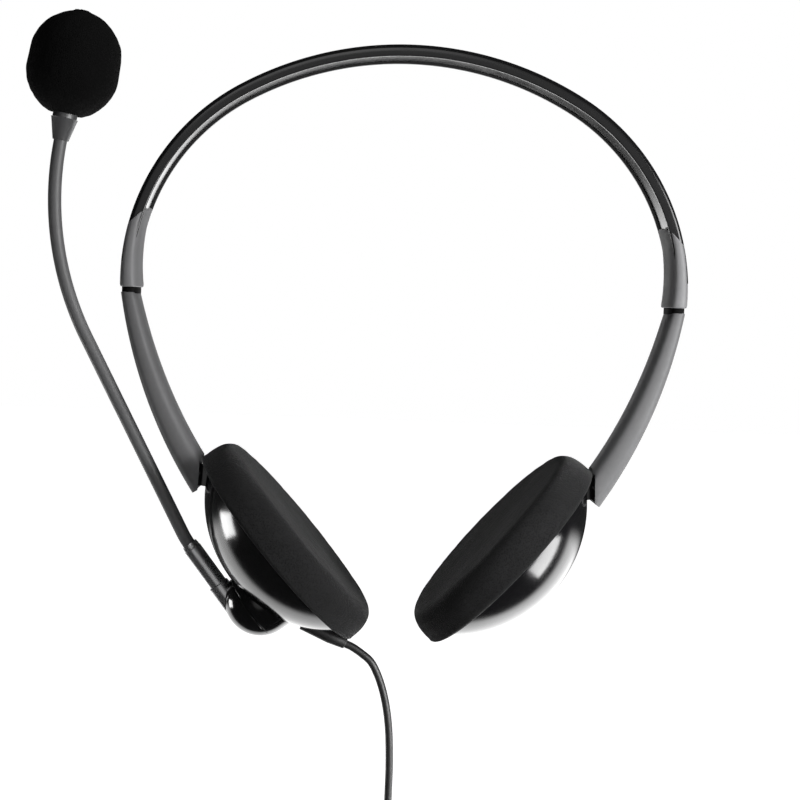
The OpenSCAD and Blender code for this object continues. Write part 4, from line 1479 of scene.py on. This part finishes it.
@dataclass
class Studio:
    """Camera, lamps, white surroundings and a pale floor."""

    eye: Place = (-0.015, -0.5, 0.0657)
    target: Place = (0.0, 0.0, 0.0383)
    roll: float = 2.25
    view_angle: float = 24.7
    ambient: float = 0.05
    floor_glow: float = 1.0
    gloss_dark: float = 0.03
    table_white: float = 1.8
    table_gain: float = 1.3
    table_edge: tuple[float, float] = (0.4, 0.55)
    horizon: tuple[float, float] = (-0.18, -0.3)
    wall_white: float = 2.2
    wall_edge: tuple[float, float] = (0.955, 0.975)
    wall_foot: tuple[float, float] = (-0.13, -0.04)
    wall_top: tuple[float, float] = (0.2, 0.12)
    wall_left: tuple[float, float] = (0.2, 0.15)
    wall_right: tuple[float, float] = (-0.3, -0.25)
    gain_edge: tuple[float, float] = (-0.1, 0.4)
    floor_size: float = 6.0
    floor_gap: float = 0.0005
    floor_grey: float = 0.85
    front_glow: float = 0.6
    front_edge: tuple[float, float] = (-0.88, -0.98)
    lamps: tuple[Lamp, ...] = (
        Lamp("right_glint", (-0.36, 0.105, -0.095), (-0.04, 0.0, -0.005), (0.11, 0.08), 0.35, soft=False),
        Lamp("left_glint", (0.31, 0.01, -0.148), (0.045, 0.0, -0.01), (0.1, 0.14), 0.5, soft=False),
        Lamp("window", (0.5, -0.42, 0.05), (0.0, 0.0, 0.04), (0.4, 0.5), 8.5, soft=False),
        Lamp("top_box", (0.05, -0.1, 0.72), (0.0, 0.0, 0.05), (0.3, 0.3), 3.0, gloss=False),
        Lamp("key_box", (0.2, -0.19, 0.03), (0.06, 0.0, 0.03), (0.08, 0.08), 0.9, gloss=False),
        Lamp("fill_box", (-0.1, -0.9, 0.5), (-0.05, 0.0, 0.05), (0.4, 0.4), 0.8),
    )

    def set_camera(self) -> None:
        """Adds the camera, a little rolled."""
        Bench.clear()
        bpy.ops.object.camera_add(location=self.eye)
        camera = bpy.context.object
        camera.data.sensor_width = SENSOR
        camera.data.lens = SENSOR / 2 / math.tan(math.radians(self.view_angle) / 2)
        aim = (Vector(self.target) - Vector(self.eye)).to_track_quat("-Z", "Y")
        turn = aim.to_matrix() @ Matrix.Rotation(math.radians(self.roll), 3, "Z")
        camera.rotation_euler = turn.to_euler()
        bpy.context.scene.camera = camera

    def surround(self) -> None:
        """Makes the world white to the eye, dim to soft light, and a pale table behind in a dark room to gloss."""
        world = bpy.data.worlds.new("surroundings")
        bpy.context.scene.world = world
        world.use_nodes = True
        graph = Graph(world.node_tree)
        way = graph.node("ShaderNodeTexCoord", {}, {})
        parts = graph.node("ShaderNodeSeparateXYZ", {}, {0: Signal(graph, way.outputs["Generated"])})
        x, y, z = (Signal(graph, socket) for socket in parts.outputs)
        table = graph.fade(y, *self.table_edge) * graph.fade(z, *self.horizon)
        wall = graph.fade(y, *self.wall_edge) * graph.fade(z, *self.wall_foot) * graph.fade(z, *self.wall_top)
        wall = wall * graph.fade(x, *self.wall_left) * graph.fade(x, *self.wall_right)
        room = self.gloss_dark + self.front_glow * graph.fade(y, *self.front_edge)
        white = self.table_white + self.table_gain * graph.fade(x, *self.gain_edge)
        gloss = room + table * white + wall * self.wall_white
        light = graph.choose("Is Glossy Ray", self.ambient, gloss)
        for ray in ("Is Camera Ray", "Is Transmission Ray"):
            light = graph.choose(ray, light, 1.0)
        backdrop = graph.tree.nodes["Background"]
        graph.feed(backdrop.inputs["Color"], (1.0, 1.0, 1.0, 1.0))
        graph.feed(backdrop.inputs["Strength"], light)

    def lay_floor(self) -> None:
        """Lays a pale floor under the headset, near white to the eye with the shadow kept."""
        Bench.clear()
        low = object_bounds()[0][2] - self.floor_gap
        bpy.ops.mesh.primitive_plane_add(size=self.floor_size, location=(0.0, 0.0, low))
        floor = bpy.context.object
        floor.name = "floor"
        floor.visible_glossy = False
        bpy.ops.object.transform_apply(location=True)
        floor.visible_shadow = False
        paint = Shader("floor_paint")
        grey = (self.floor_grey,) * 3
        paint.set(Base_Color=(*grey, 1.0), Roughness=0.9, Emission_Color=(1.0, 1.0, 1.0, 1.0))
        paint.set(Emission_Strength=paint.choose("Is Camera Ray", 0.0, self.floor_glow))
        floor.data.materials.append(paint.material)
        floor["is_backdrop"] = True

    def build(self) -> None:
        """Sets up the whole studio."""
        bpy.context.scene.view_settings.view_transform = "Standard"
        self.surround()
        self.lay_floor()
        for lamp in self.lamps:
            lamp.hang()


def main() -> None:
    """Builds the headset's looks and the studio round it."""
    logging.basicConfig(level=logging.INFO, format="%(name)s: %(message)s")
    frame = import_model()
    studio = Studio()
    studio.set_camera()
    shop = Workshop(frame, Finishes())
    shop.dress_nodes()
    layout = Layout()
    Cord(shop, layout).build()
    band = Headband(shop)
    band.build()
    Sleeve(shop, band, layout).build()
    Arm(shop, layout).build()
    Cup(shop, layout).build()
    Boom(shop, layout).build()
    studio.build()
    Bench.clear()


if __name__ == "__main__":
    main()
